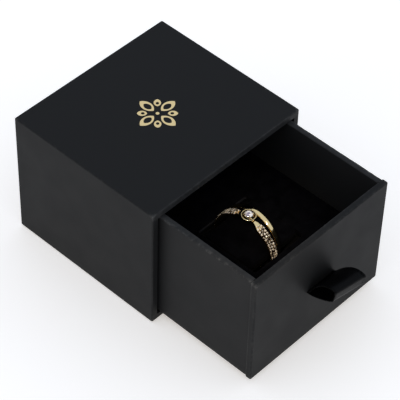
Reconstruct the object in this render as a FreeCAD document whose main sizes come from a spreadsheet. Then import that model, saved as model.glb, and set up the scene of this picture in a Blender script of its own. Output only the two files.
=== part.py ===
import FreeCAD, Part
import Sketcher
import math
import os
import re

# Ring box with a pull-out drawer, in millimetres.
#
# A wrapped greyboard sleeve, open at the front, takes a wrapped greyboard drawer. The drawer holds a
# velvet-faced foam insert, and a ring sits round the tongue that is cut in the insert. A satin ribbon
# loop through a slot in the drawer's front is the pull.
#
# Frame: origin at the middle of the sleeve's underside, +Z up, the drawer opens towards -Y.
# Rest: the drawer stands out of the mouth by DrawerOut.

SIZES = (
    # alias, size in millimetres (angles in degrees, counts as they are), what it is
    ("SleeveWidth", 55.0, "sleeve, outside, side to side"),
    ("SleeveDepth", 50.5, "sleeve, outside, mouth to back"),
    ("SleeveHeight", 40.5, "sleeve, outside, underside to top"),
    ("SleeveBoard", 1.5, "greyboard of the sleeve"),
    ("PaperThick", 0.2, "wrapping paper and lining paper"),
    ("EdgeRadius", 0.45, "outer edge where paper is folded over board"),
    ("BaseInset", 1.2, "base sheet, back from the sleeve's edges"),
    ("DrawerOut", 32.6, "drawer front, ahead of the sleeve's mouth at rest"),
    ("DrawerBackGap", 0.4, "closed drawer to the sleeve's back lining"),
    ("FrontBoard", 1.5, "greyboard of the drawer front"),
    ("FrontSideGap", 0.6, "drawer front to the sleeve's side lining"),
    ("FrontTopGap", 0.2, "drawer front to the sleeve's top lining"),
    ("FrontBottomGap", 0.25, "drawer front to the sleeve's floor lining"),
    ("FrontReturn", 5.0, "front paper folded onto the back of its board"),
    ("ProudSide", 0.3, "drawer front, past the tray's side"),
    ("ProudBelow", 0.35, "drawer front, below the tray"),
    ("ProudAbove", 0.1, "drawer front, above the tray's rim"),
    ("TrayBoard", 1.35, "greyboard of the tray"),
    ("TrayTurnIn", 21.0, "tray wrap, down the inside from the rim"),
    ("LiningMargin", 1.0, "front lining, below the top edge of the front"),
    ("WellDepth", 18.3, "tray rim down to the velvet"),
    ("InsertGap", 0.15, "insert to the tray's walls"),
    ("VelvetThick", 0.5, "velvet facing of the insert"),
    ("PadFoam", 2.5, "foam plate under the velvet"),
    ("TongueLength", 18.0, "tongue, root to free end"),
    ("TongueShift", 0.5, "middle of the tongue, right of the middle of the box"),
    ("TongueForward", 0.3, "tongue and ring, ahead of the middle of the well"),
    ("TongueEndGap", 0.4, "cut at the free end of the tongue"),
    ("TongueRootGap", 0.05, "cut at the root of the tongue"),
    ("SlitClear", 0.3, "ring to either edge of the slits"),
    ("TroughPast", 2.5, "trough under the tongue, past its free end"),
    ("RingFloorGap", 0.3, "bottom of the ring to the floor of the trough"),
    ("RingOuter", 9.85, "outer radius of the ring's bands"),
    ("RingInner", 8.5, "inner radius of the stone-set band"),
    ("RingAxisBelow", 2.0, "axis of the ring, below the velvet"),
    ("RingLeft", 1.55, "middle of the stone-set band, left of the middle of the box"),
    ("RingLeanDegrees", 2.7, "lean of the ring, forward round its axis"),
    ("RingYawDegrees", 2.5, "turn of the ring in its slits, seen from above"),
    ("StoneBandWidth", 2.3, "stone-set band along the ring's axis"),
    ("ChannelWidth", 1.9, "channel for the small stones"),
    ("ChannelDepth", 0.45, "depth of that channel"),
    ("ChannelSpanDegrees", 210.0, "arc of the band that the channel takes"),
    ("PlainWidth", 1.5, "plain band along the ring's axis"),
    ("PlainThick", 1.24, "plain band from inside to outside"),
    ("PlainParting", 1.0, "plain band's parting from the other one at the top"),
    ("BandTouch", 0.02, "seam between pieces of the ring that are soldered or set together"),
    ("BandEdgeRadius", 0.16, "rounded edges of the stone-set band"),
    ("CollarOuter", 2.05, "outer radius of the collar round the centre stone"),
    ("CollarInner", 1.65, "inner radius of the collar"),
    ("CollarHeight", 0.9, "collar, above the bands"),
    ("CollarFloor", 0.3, "collar's floor plate, above the bands"),
    ("CollarHole", 0.8, "radius of the hole under the centre stone"),
    ("StoneRadius", 1.15, "girdle radius of the centre stone"),
    ("StoneCrown", 0.4, "centre stone above its girdle"),
    ("StonePavilion", 0.95, "centre stone below its girdle"),
    ("StoneLift", 1.25, "girdle of the centre stone, above the bands"),
    ("ClawRadius", 0.2, "claws that hold the centre stone"),
    ("SmallStoneRadius", 0.42, "small stones"),
    ("SmallStoneCrown", 0.15, "small stone above its girdle"),
    ("SmallStonePavilion", 0.38, "small stone below its girdle"),
    ("SmallStonePitch", 0.92, "small stones, one to the next along the band"),
    ("GirdleThick", 0.06, "girdle of every stone"),
    ("TableShare", 0.6, "table of a stone, as a share of its girdle"),
    ("RibbonWidth", 10.3, "satin ribbon"),
    ("RibbonThick", 0.2, "thickness of the ribbon"),
    ("RibbonRight", 0.6, "middle of the ribbon, right of the middle of the box"),
    ("RibbonHeight", 17.4, "slot for the ribbon, above the bottom edge of the front"),
    ("RibbonTail", 8.0, "ribbon glued up and down behind the front board"),
    ("RibbonReach", 8.7, "slot to the middle of the loop's nose"),
    ("RibbonNose", 2.2, "outer radius of the loop's nose"),
    ("RibbonRoot", 0.4, "outer radius of the loop at the slot"),
    ("RibbonRiseDegrees", 31.5, "upward slope of the loop"),
    ("RibbonGap", 0.25, "loop to the drawer front"),
    ("RibbonSlotClear", 0.15, "ribbon to the edges of its slot"),
    ("FoilSpan", 13.0, "gold foil ornament, across"),
    ("LongLeaf", 5.1, "long leaves of the ornament, from tip to tip"),
    ("LongLeafWidth", 2.9, "width of the long leaves"),
    ("ShortLeaf", 2.7, "short leaves of the ornament, from tip to tip"),
    ("ShortLeafWidth", 1.95, "width of the short leaves"),
    ("ShortLeafInside", 1.1, "outer tips of the short leaves, inside those of the long ones"),
    ("FoilLine", 0.55, "line width of the long leaves"),
    ("FoilFineLine", 0.4, "line width of the short leaves"),
    ("FoilDot", 0.5, "radius of the dot in the ornament's middle"),
    ("FoilThick", 0.03, "thickness of the foil"),
)

# Places that follow from the sizes. Each is a formula of sizes and of other places.
PLACES = {
    "SideX": "SleeveWidth / 2",
    "MouthY": "-SleeveDepth / 2",
    "BackY": "SleeveDepth / 2",
    "SleeveWall": "SleeveBoard + 2 * PaperThick",
    "UndersideZ": "0",
    "BoardX": "SideX - PaperThick",
    "BoardBottomZ": "2 * PaperThick",
    "BoardTopZ": "SleeveHeight - PaperThick",
    "BoardBackY": "BackY - PaperThick",
    "LiningX": "SideX - SleeveWall",
    "LiningBackY": "BackY - SleeveWall",
    "FloorZ": "BoardBottomZ + SleeveBoard + PaperThick",
    "CeilingZ": "BoardTopZ - SleeveBoard - PaperThick",
    "FrontX": "LiningX - FrontSideGap",
    "FrontBottomZ": "FloorZ + FrontBottomGap",
    "FrontTopZ": "CeilingZ - FrontTopGap",
    "FrontY": "MouthY - DrawerOut",
    "FrontBoardY": "FrontY + PaperThick",
    "FrontBoardBackY": "FrontBoardY + FrontBoard",
    "PanelBackY": "FrontBoardBackY + max(PaperThick; RibbonThick)",
    "TrayX": "FrontX - ProudSide",
    "TrayBottomZ": "FrontBottomZ + ProudBelow",
    "TrayTopZ": "FrontTopZ - ProudAbove",
    "TrayBackY": "LiningBackY - DrawerBackGap - DrawerOut",
    "TrayBoardX": "TrayX - PaperThick",
    "TrayBoardZ": "TrayBottomZ + PaperThick",
    "TrayBoardBackY": "TrayBackY - PaperThick",
    "TrayInsideX": "TrayBoardX - TrayBoard",
    "TrayInsideZ": "TrayBoardZ + TrayBoard",
    "TrayInsideBackY": "TrayBoardBackY - TrayBoard",
    "WellX": "TrayInsideX - PaperThick",
    "WellFloorZ": "TrayInsideZ + PaperThick",
    "WellBackY": "TrayInsideBackY - PaperThick",
    "WellFrontY": "PanelBackY + PaperThick",
    "InsertX": "WellX - InsertGap",
    "InsertFrontY": "WellFrontY + InsertGap",
    "InsertBackY": "WellBackY - InsertGap",
    "PadTopZ": "TrayTopZ - WellDepth",
    "PadFoamTopZ": "PadTopZ - VelvetThick",
    "PadBottomZ": "PadFoamTopZ - PadFoam",
    "RingY": "(WellFrontY + WellBackY) / 2 - TongueForward",
    "RingZ": "PadTopZ - RingAxisBelow",
    "RingX": "-RingLeft",
    "TongueFreeX": "TongueShift - TongueLength / 2",
    "TongueRootX": "TongueShift + TongueLength / 2",
    "WindowLeftX": "TongueFreeX - TongueEndGap",
    "WindowHalfY": "RingOuter + SlitClear",
    "DeepestChord": "max(RingAxisBelow; VelvetThick + PadFoam - RingAxisBelow)",
    "TongueHalfY": "sqrt(pow(RingInner; 2) - pow(DeepestChord; 2)) - SlitClear",
    "TroughFloorZ": "RingZ - RingOuter - RingFloorGap",
    "SlotZ": "FrontBottomZ + RibbonHeight",
    "SlotHalfX": "RibbonWidth / 2 + RibbonSlotClear",
    "SlotHalfZ": "RibbonThick + RibbonSlotClear",
    "CollarFootZ": "RingOuter - CollarOuter / 2",
    "CollarTopZ": "RingOuter + CollarHeight",
    "ChannelRim": "(StoneBandWidth - ChannelWidth) / 2",
    # Just under the radius at which a rounded corner would cut through the paper over a sharp board.
    "WrapRadius": "min(EdgeRadius; 2.3 * PaperThick)",
}
NEGLIGIBLE = 1e-6

doc = FreeCAD.newDocument("RingBox")
sheet = doc.addObject("Spreadsheet::Sheet", "Sizes")
finished = []


# ---------------------------------------------------------------- the sheet and its formulas

def fill_sheet():
    """Put the driving sizes in the sheet: name, value, note, with the name as the value's alias."""
    for row, (alias, value, note) in enumerate(SIZES, start=1):
        sheet.set("A%d" % row, alias)
        sheet.set("B%d" % row, str(value))
        sheet.set("C%d" % row, note)
        sheet.setAlias("B%d" % row, alias)
    doc.recompute()


def size(alias):
    """A driving size as a number, for shapes that are made in code."""
    return float(sheet.get(alias))


def formula(text):
    """Spell out places until the formula holds only aliases of the sheet."""
    def spelled(match):
        word = match.group(0)
        if word in PLACES:
            return "(" + formula(PLACES[word]) + ")"
        return "Sizes." + word
    return re.sub(r"[A-Z][A-Za-z]+", spelled, text)


def bind(thing, prop, text):
    """Tie a property to a formula of sizes and places."""
    thing.setExpression(prop, formula(text))


# ---------------------------------------------------------------- how pieces are made

def bind_block(box, block):
    """Tie a box to six formulas: left, right, front, back, bottom, top."""
    left, right, front, back, bottom, top = block
    bind(box, "Length", "(%s) - (%s)" % (right, left))
    bind(box, "Width", "(%s) - (%s)" % (back, front))
    bind(box, "Height", "(%s) - (%s)" % (top, bottom))
    bind(box, "Placement.Base.x", left)
    bind(box, "Placement.Base.y", front)
    bind(box, "Placement.Base.z", bottom)


def wide(half, front, back, bottom, top):
    """A block that reaches the same distance to the left and to the right."""
    return ("-(%s)" % half, half, front, back, bottom, top)


def finish(thing, node):
    """Name a finished piece and keep it for the export."""
    thing.Label = node
    finished.append(thing)
    return thing


def board(node, block):
    """A flat rectangular sheet of board or paper."""
    box = doc.addObject("Part::Box", node + "_box")
    bind_block(box, block)
    return finish(box, node)


def rounded(body, feature, radius, keep_front_sharp):
    """Round the edges of a body's first box, all of them or all but those in its front plane."""
    doc.recompute()
    front = feature.Shape.BoundBox.YMin
    names = []
    for number, edge in enumerate(feature.Shape.Edges, start=1):
        lies_in_front = edge.BoundBox.YMax < front + NEGLIGIBLE
        if not (keep_front_sharp and lies_in_front):
            names.append("Edge%d" % number)
    fillet = body.newObject("PartDesign::Fillet", body.Name + "_round")
    fillet.Base = (feature, names)
    bind(fillet, "Radius", radius)
    doc.recompute()


def carved(node, block, cuts, radius=None, keep_front_sharp=False):
    """A box with rounded edges and box-shaped cuts: a skin of paper, a slotted board, cut foam."""
    body = doc.addObject("PartDesign::Body", node + "_body")
    outside = body.newObject("PartDesign::AdditiveBox", node + "_block")
    bind_block(outside, block)
    if radius:
        rounded(body, outside, radius, keep_front_sharp)
    for number, cut in enumerate(cuts, start=1):
        hollow = body.newObject("PartDesign::SubtractiveBox", "%s_cut%d" % (node, number))
        bind_block(hollow, cut)
    return finish(body, node)


def origin_plane(body, role):
    """One of a body's own origin planes or axes."""
    for feature in body.Origin.OriginFeatures:
        if feature.Role == role:
            return feature


def solid_feature(node, shape):
    """A piece whose shape is worked out in code from the sheet's sizes."""
    piece = doc.addObject("Part::Feature", node + "_shape")
    piece.Shape = shape
    return finish(piece, node)


# ---------------------------------------------------------------- sleeve

def make_sleeve_boards():
    """Five greyboards, butted: back over all, then top and bottom, then the two sides."""
    behind_paper = "MouthY + PaperThick"
    before_back = "BoardBackY - SleeveBoard"
    above_bottom = "BoardBottomZ + SleeveBoard"
    below_top = "BoardTopZ - SleeveBoard"
    board("sleeve_back_board", wide("BoardX", before_back, "BoardBackY", "BoardBottomZ", "BoardTopZ"))
    board("sleeve_bottom_board", wide("BoardX", behind_paper, before_back, "BoardBottomZ", above_bottom))
    board("sleeve_top_board", wide("BoardX", behind_paper, before_back, below_top, "BoardTopZ"))
    inner_x = "BoardX - SleeveBoard"
    board("sleeve_left_board",
          ("-BoardX", "-(%s)" % inner_x, behind_paper, before_back, above_bottom, below_top))
    board("sleeve_right_board",
          (inner_x, "BoardX", behind_paper, before_back, above_bottom, below_top))


def make_sleeve_papers():
    """Outer wrap folded round the mouth's edge, the base sheet under it, and the inner lining."""
    carved(
        "sleeve_wrap_paper",
        wide("SideX", "MouthY", "BackY", "PaperThick", "SleeveHeight"),
        [
            wide("BoardX", "MouthY + PaperThick", "BoardBackY", "BoardBottomZ", "BoardTopZ"),
            wide("LiningX", "MouthY - PaperThick", "MouthY + 2 * PaperThick", "FloorZ", "CeilingZ"),
        ],
        "WrapRadius",
    )
    board("sleeve_base_paper",
          wide("SideX - BaseInset", "MouthY + BaseInset", "BackY - BaseInset", "UndersideZ", "PaperThick"))
    carved(
        "sleeve_lining_paper",
        wide("LiningX + PaperThick", "MouthY + PaperThick", "LiningBackY + PaperThick",
             "FloorZ - PaperThick", "CeilingZ + PaperThick"),
        [wide("LiningX", "MouthY", "LiningBackY", "FloorZ", "CeilingZ")],
    )


def lens(length, width, height):
    """The shape between two equal arcs, along +X from the origin, as a thin plate."""
    radius = (length ** 2 + width ** 2) / (4 * width)
    drop = radius - width / 2
    middle = length / 2
    lower = Part.makeCylinder(radius, height, FreeCAD.Vector(middle, -drop, 0))
    upper = Part.makeCylinder(radius, height, FreeCAD.Vector(middle, drop, 0))
    return lower.common(upper)


def leaf(tip, length, width, line, height, turn):
    """An outlined leaf that ends at a distance from the middle; its line swells towards both tips."""
    inner_line, outer_line = 1.6 * line, 2.6 * line
    outline = lens(length, width, height)
    opening = lens(length - inner_line - outer_line, width - 2 * line, height)
    opening.translate(FreeCAD.Vector(inner_line, 0, 0))
    shape = outline.cut(opening)
    shape.translate(FreeCAD.Vector(tip - length, 0, 0))
    shape.rotate(FreeCAD.Vector(0, 0, 0), FreeCAD.Vector(0, 0, 1), turn)
    return shape


def make_foil():
    """Gold foil rosette on the sleeve's top: four long leaves, four short ones and a dot."""
    height = size("FoilThick")
    long_tip = size("FoilSpan") / 2
    short_tip = long_tip - size("ShortLeafInside")
    pieces = [Part.makeCylinder(size("FoilDot"), height)]
    for turn in (0, 90, 180, 270):
        pieces.append(leaf(long_tip, size("LongLeaf"), size("LongLeafWidth"), size("FoilLine"),
                           height, turn))
        pieces.append(leaf(short_tip, size("ShortLeaf"), size("ShortLeafWidth"), size("FoilFineLine"),
                           height, turn + 45))
    foil = solid_feature("foil_ornament", Part.makeCompound(pieces))
    bind(foil, "Placement.Base.z", "SleeveHeight")


# ---------------------------------------------------------------- drawer

def make_drawer_front():
    """A slotted board in its own paper, proud of the tray that is glued behind it."""
    slot = ("RibbonRight - SlotHalfX", "RibbonRight + SlotHalfX", "FrontY - PaperThick",
            "PanelBackY + PaperThick", "SlotZ - SlotHalfZ", "SlotZ + SlotHalfZ")
    board_block = wide("FrontX - PaperThick", "FrontBoardY", "FrontBoardBackY",
                       "FrontBottomZ + PaperThick", "FrontTopZ - PaperThick")
    open_back = wide("FrontX - FrontReturn", "FrontBoardBackY", "PanelBackY + PaperThick",
                     "FrontBottomZ + FrontReturn", "FrontTopZ - FrontReturn")
    carved("drawer_front_board", board_block, [slot])
    carved("drawer_front_paper", wide("FrontX", "FrontY", "PanelBackY", "FrontBottomZ", "FrontTopZ"),
           [board_block, open_back, slot], "WrapRadius")
    board("drawer_front_lining",
          wide("WellX", "PanelBackY", "WellFrontY", "WellFloorZ", "FrontTopZ - LiningMargin"))


def make_tray_boards():
    """Floor, two sides and back, butted and glued; the front panel closes the fourth side."""
    board_tops = "TrayTopZ - PaperThick"
    board("drawer_left_board",
          ("-TrayBoardX", "-TrayInsideX", "PanelBackY", "TrayBoardBackY", "TrayBoardZ", board_tops))
    board("drawer_right_board",
          ("TrayInsideX", "TrayBoardX", "PanelBackY", "TrayBoardBackY", "TrayBoardZ", board_tops))
    board("drawer_back_board",
          wide("TrayInsideX", "TrayInsideBackY", "TrayBoardBackY", "TrayBoardZ", board_tops))
    board("drawer_floor_board",
          wide("TrayInsideX", "PanelBackY", "TrayInsideBackY", "TrayBoardZ", "TrayInsideZ"))


def make_tray_papers():
    """Wrap over the outside, over the rim and down the inside, and a sheet on the floor."""
    board_tops = "TrayTopZ - PaperThick"
    turn_in = "TrayTopZ - TrayTurnIn"
    past_front = "PanelBackY - PaperThick"
    carved(
        "drawer_wrap_paper",
        wide("TrayX", "PanelBackY", "TrayBackY", "TrayBottomZ", "TrayTopZ"),
        [
            ("-TrayBoardX", "-TrayInsideX", past_front, "TrayBoardBackY", "TrayBoardZ", board_tops),
            ("TrayInsideX", "TrayBoardX", past_front, "TrayBoardBackY", "TrayBoardZ", board_tops),
            wide("TrayBoardX", "TrayInsideBackY", "TrayBoardBackY", "TrayBoardZ", board_tops),
            wide("TrayBoardX", past_front, "TrayBoardBackY", "TrayBoardZ", turn_in),
            wide("WellX", past_front, "WellBackY", "TrayBoardZ", "TrayTopZ + PaperThick"),
        ],
        "WrapRadius",
        keep_front_sharp=True,
    )
    board("drawer_floor_paper", wide("WellX", "PanelBackY", "WellBackY", "TrayInsideZ", "WellFloorZ"))


# ---------------------------------------------------------------- insert

def make_insert():
    """Foam block with a trough, a foam plate with a window on it, and the velvet on the plate."""
    window_front = "RingY - WindowHalfY"
    window_back = "RingY + WindowHalfY"
    carved(
        "insert_foam_block",
        wide("InsertX", "InsertFrontY", "InsertBackY", "WellFloorZ", "PadBottomZ"),
        [("WindowLeftX - TroughPast", "TongueRootX + SlitClear", window_front, window_back,
          "TroughFloorZ", "PadBottomZ + PadFoam")],
    )
    window = ("WindowLeftX", "TongueRootX", window_front, window_back,
              "PadBottomZ - PadFoam", "PadTopZ + PadFoam")
    carved("insert_pad",
           wide("InsertX", "InsertFrontY", "InsertBackY", "PadBottomZ", "PadFoamTopZ"), [window])
    carved("insert_pad_velvet",
           wide("InsertX", "InsertFrontY", "InsertBackY", "PadFoamTopZ", "PadTopZ"), [window])


def make_tongue():
    """The tongue left by the U-shaped cut, which bends up at its root."""
    root = "TongueRootX - TongueRootGap"
    tongue_front = "RingY - TongueHalfY"
    tongue_back = "RingY + TongueHalfY"
    board("tongue_foam", ("TongueFreeX", root, tongue_front, tongue_back, "PadBottomZ", "PadFoamTopZ"))
    board("tongue_velvet", ("TongueFreeX", root, tongue_front, tongue_back, "PadFoamTopZ", "PadTopZ"))


# ---------------------------------------------------------------- ribbon pull

def loop_outline(sketch, reach, nose, root, trim):
    """Closed outline round the nose circle and the root circle, drawn inwards by trim formulas."""
    lean = math.asin((nose - root) / reach)
    quarter = math.pi / 2
    up = FreeCAD.Vector(0, 0, 1)
    centre = FreeCAD.Vector(reach, 0, 0)
    zero = FreeCAD.Vector(0, 0, 0)
    normal = FreeCAD.Vector(-math.sin(lean), math.cos(lean), 0)
    mirrored = FreeCAD.Vector(normal.x, -normal.y, 0)
    nose_arc = Part.ArcOfCircle(Part.Circle(centre, up, nose), -quarter - lean, quarter + lean)
    root_arc = Part.ArcOfCircle(Part.Circle(zero, up, root), quarter + lean, 3 * quarter - lean)
    upper = Part.LineSegment(centre + normal * nose, normal * root)
    lower = Part.LineSegment(mirrored * root, centre + mirrored * nose)
    first = sketch.GeometryCount
    for shape in (nose_arc, upper, root_arc, lower):
        sketch.addGeometry(shape, False)
    nose_id, upper_id, root_id, lower_id = range(first, first + 4)
    start, end, middle = 1, 2, 3
    for one, one_point, other, other_point in (
        (nose_id, end, upper_id, start),
        (upper_id, end, root_id, start),
        (root_id, end, lower_id, start),
        (lower_id, end, nose_id, start),
    ):
        sketch.addConstraint(Sketcher.Constraint("Tangent", one, one_point, other, other_point))
    sketch.addConstraint(Sketcher.Constraint("Coincident", root_id, middle, -1, 1))
    sketch.addConstraint(Sketcher.Constraint("PointOnObject", nose_id, middle, -1))
    for rule, text in (
        (Sketcher.Constraint("DistanceX", -1, 1, nose_id, middle, reach), "RibbonReach"),
        (Sketcher.Constraint("Radius", nose_id, nose), "RibbonNose" + trim),
        (Sketcher.Constraint("Radius", root_id, root), "RibbonRoot" + trim),
    ):
        number = sketch.addConstraint(rule)
        bind(sketch, "Constraints[%d]" % number, text)


def make_ribbon():
    """The ribbon's loop in front of the panel, and its two tails glued behind it."""
    body = doc.addObject("PartDesign::Body", "ribbon_loop_body")
    sketch = body.newObject("Sketcher::SketchObject", "ribbon_loop_sketch")
    sketch.AttachmentSupport = [(origin_plane(body, "XY_Plane"), "")]
    sketch.MapMode = "FlatFace"
    reach, nose, root = size("RibbonReach"), size("RibbonNose"), size("RibbonRoot")
    thick = size("RibbonThick")
    loop_outline(sketch, reach, nose, root, "")
    loop_outline(sketch, reach, nose - thick, root - thick, " - RibbonThick")
    pad = body.newObject("PartDesign::Pad", "ribbon_loop_pad")
    pad.Profile = sketch
    pad.Midplane = True
    bind(pad, "Length", "RibbonWidth")
    doc.recompute()
    outward = FreeCAD.Rotation(FreeCAD.Vector(0, -1, 0), FreeCAD.Vector(0, 0, 1),
                               FreeCAD.Vector(-1, 0, 0), "XYZ")
    rise = FreeCAD.Rotation(FreeCAD.Vector(1, 0, 0), -size("RibbonRiseDegrees"))
    body.Placement = FreeCAD.Placement(FreeCAD.Vector(0, 0, 0), rise.multiply(outward))
    bind(body, "Placement.Base.x", "RibbonRight")
    bind(body, "Placement.Base.y", "FrontY - RibbonGap - RibbonRoot")
    bind(body, "Placement.Base.z", "SlotZ")
    finish(body, "ribbon_loop")

    left, right = "RibbonRight - RibbonWidth / 2", "RibbonRight + RibbonWidth / 2"
    tails = doc.addObject("PartDesign::Body", "ribbon_tails_body")
    through = tails.newObject("PartDesign::AdditiveBox", "ribbon_tails_through")
    bind_block(through, (left, right, "FrontY", "FrontBoardBackY",
                         "SlotZ - RibbonThick", "SlotZ + RibbonThick"))
    spread = tails.newObject("PartDesign::AdditiveBox", "ribbon_tails_spread")
    bind_block(spread, (left, right, "FrontBoardBackY", "FrontBoardBackY + RibbonThick",
                        "SlotZ - RibbonTail", "SlotZ + RibbonTail"))
    finish(tails, "ribbon_tails")


# ---------------------------------------------------------------- ring

def place_on_ring(piece, quarter_turn=0):
    """Seat a piece made round the ring's own centre: its axis along X, the stone on top."""
    lean = FreeCAD.Rotation(FreeCAD.Vector(1, 0, 0), size("RingLeanDegrees") + quarter_turn)
    yaw = FreeCAD.Rotation(FreeCAD.Vector(0, 0, 1), size("RingYawDegrees"))
    piece.Placement = FreeCAD.Placement(FreeCAD.Vector(0, 0, 0), yaw.multiply(lean))
    bind(piece, "Placement.Base.x", "RingX")
    bind(piece, "Placement.Base.y", "RingY")
    bind(piece, "Placement.Base.z", "RingZ")


def rectangle(body, name, half_width, low, high, low_value, high_value):
    """A sketched rectangle on the body's XY plane, even about Y, between two heights."""
    sketch = body.newObject("Sketcher::SketchObject", name)
    sketch.AttachmentSupport = [(origin_plane(body, "XY_Plane"), "")]
    sketch.MapMode = "FlatFace"
    corners = [FreeCAD.Vector(x, y, 0) for x, y in
               ((-1, low_value), (1, low_value), (1, high_value), (-1, high_value))]
    for number in range(4):
        sketch.addGeometry(Part.LineSegment(corners[number], corners[(number + 1) % 4]), False)
    for number in range(4):
        sketch.addConstraint(Sketcher.Constraint("Coincident", number, 2, (number + 1) % 4, 1))
    sketch.addConstraint(Sketcher.Constraint("Horizontal", 2))
    sketch.addConstraint(Sketcher.Constraint("Vertical", 1))
    sketch.addConstraint(Sketcher.Constraint("Vertical", 3))
    sketch.addConstraint(Sketcher.Constraint("Symmetric", 0, 1, 0, 2, -2))
    for rule, text in (
        (Sketcher.Constraint("DistanceX", -1, 1, 0, 2, 1), half_width),
        (Sketcher.Constraint("DistanceY", -1, 1, 0, 2, low_value), low),
        (Sketcher.Constraint("DistanceY", -1, 1, 1, 2, high_value), high),
    ):
        number = sketch.addConstraint(rule)
        bind(sketch, "Constraints[%d]" % number, text)
    return sketch


def make_stone_band():
    """Flat-sided band with rounded edges and a channel for the small stones over its top."""
    body = doc.addObject("PartDesign::Body", "ring_stone_band_body")
    inner, outer, depth = size("RingInner"), size("RingOuter"), size("ChannelDepth")
    section = rectangle(body, "ring_stone_band_section", "StoneBandWidth / 2", "RingInner", "RingOuter",
                        inner, outer)
    turn = body.newObject("PartDesign::Revolution", "ring_stone_band_turn")
    turn.Profile = section
    turn.ReferenceAxis = (section, ["H_Axis"])
    turn.Angle = 360
    doc.recompute()
    rounding = body.newObject("PartDesign::Fillet", "ring_stone_band_round")
    circles = []
    for number, edge in enumerate(turn.Shape.Edges, start=1):
        if isinstance(edge.Curve, Part.Circle):
            circles.append("Edge%d" % number)
    rounding.Base = (turn, circles)
    bind(rounding, "Radius", "min(BandEdgeRadius; 0.9 * ChannelRim)")
    doc.recompute()
    full = body.Shape.Volume
    slot = rectangle(body, "ring_stone_band_channel", "ChannelWidth / 2", "RingOuter - ChannelDepth",
                     "RingOuter + ChannelDepth", outer - depth, outer + depth)
    groove = body.newObject("PartDesign::Groove", "ring_stone_band_groove")
    groove.Profile = slot
    groove.ReferenceAxis = (slot, ["H_Axis"])
    groove.Midplane = True
    bind(groove, "Angle", "ChannelSpanDegrees")
    doc.recompute()
    if body.Shape.Volume > full - NEGLIGIBLE:
        raise RuntimeError("the channel cut nothing from the band")
    place_on_ring(body, 90)
    finish(body, "ring_stone_band")


def plain_band_shape():
    """Oval wire bent to a ring, which parts from the stone-set band towards the top."""
    half_width, half_thick = size("PlainWidth") / 2, size("PlainThick") / 2
    radius = size("RingOuter") - half_thick
    beside = size("StoneBandWidth") / 2 + size("BandTouch") + half_width
    stations = 32
    points = []
    for station in range(stations):
        angle = 2 * math.pi * station / stations
        spread = size("PlainParting") * ((1 + math.cos(angle)) / 2) ** 2
        points.append(FreeCAD.Vector(beside + spread, -radius * math.sin(angle), radius * math.cos(angle)))
    curve = Part.BSplineCurve()
    curve.interpolate(points, PeriodicFlag=True)
    section = Part.Wire([Part.Ellipse(FreeCAD.Vector(0, 0, 0), half_width, half_thick).toShape()])
    upright = FreeCAD.Rotation(FreeCAD.Vector(1, 0, 0), 90)
    section.Placement = FreeCAD.Placement(points[0], upright)
    sweep = Part.BRepOffsetAPI.MakePipeShell(Part.Wire([curve.toShape()]))
    sweep.setBiNormalMode(FreeCAD.Vector(1, 0, 0))
    sweep.add(section)
    sweep.build()
    sweep.makeSolid()
    return sweep.shape()


def make_collar():
    """Open collar with a floor plate, saddled onto the bands, round the centre stone."""
    body = doc.addObject("PartDesign::Body", "ring_collar_body")
    wall = body.newObject("PartDesign::AdditiveCylinder", "ring_collar_wall")
    bind(wall, "Radius", "CollarOuter")
    bind(wall, "Height", "CollarTopZ - CollarFootZ")
    bind(wall, "Placement.Base.z", "CollarFootZ")
    for name, radius, bottom in (
        ("ring_collar_bowl", "CollarInner", "RingOuter + CollarFloor"),
        ("ring_collar_hole", "CollarHole", "CollarFootZ"),
    ):
        bore = body.newObject("PartDesign::SubtractiveCylinder", name)
        bind(bore, "Radius", radius)
        bind(bore, "Height", "CollarTopZ - CollarFootZ")
        bind(bore, "Placement.Base.z", bottom)
    round_band = body.newObject("PartDesign::SubtractiveCylinder", "ring_collar_saddle")
    round_band.Placement = FreeCAD.Placement(FreeCAD.Vector(0, 0, 0),
                                             FreeCAD.Rotation(FreeCAD.Vector(0, 1, 0), 90))
    bind(round_band, "Radius", "RingOuter + BandTouch")
    bind(round_band, "Height", "4 * CollarOuter")
    bind(round_band, "Placement.Base.x", "-2 * CollarOuter")
    place_on_ring(body)
    finish(body, "ring_collar")


def polygon(radius, height, sides):
    """A regular polygon's wire at a height."""
    points = []
    for number in range(sides + 1):
        angle = 2 * math.pi * number / sides
        points.append(FreeCAD.Vector(radius * math.cos(angle), radius * math.sin(angle), height))
    return Part.makePolygon(points)


def gem(radius, crown, pavilion, girdle, sides):
    """Cut stone above the ring's centre: a pointed pavilion, a thin girdle at a height, a crown."""
    half_girdle = size("GirdleThick") / 2
    culet = polygon(half_girdle, girdle - pavilion, sides)
    girdle_bottom = polygon(radius, girdle - half_girdle, sides)
    girdle_top = polygon(radius, girdle + half_girdle, sides)
    table = polygon(size("TableShare") * radius, girdle + crown, sides)
    return Part.makeLoft([culet, girdle_bottom, girdle_top, table], True, True)


def make_claws():
    """Four claws that stand on the collar's floor and lean over the stone's girdle."""
    thick = size("ClawRadius")
    girdle = size("RingOuter") + size("StoneLift")
    foot = size("RingOuter") + size("CollarFloor") + size("BandTouch")
    out = size("StoneRadius") + thick + size("BandTouch")
    tip = girdle + thick
    claws = []
    for quarter in range(4):
        angle = math.radians(45 + 90 * quarter)
        spot = FreeCAD.Vector(out * math.cos(angle), out * math.sin(angle), foot)
        post = Part.makeCylinder(thick, tip - foot, spot)
        cap = Part.makeSphere(thick, FreeCAD.Vector(spot.x, spot.y, tip))
        claws.append(post.fuse(cap).removeSplitter())
    return Part.makeCompound(claws)


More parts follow.
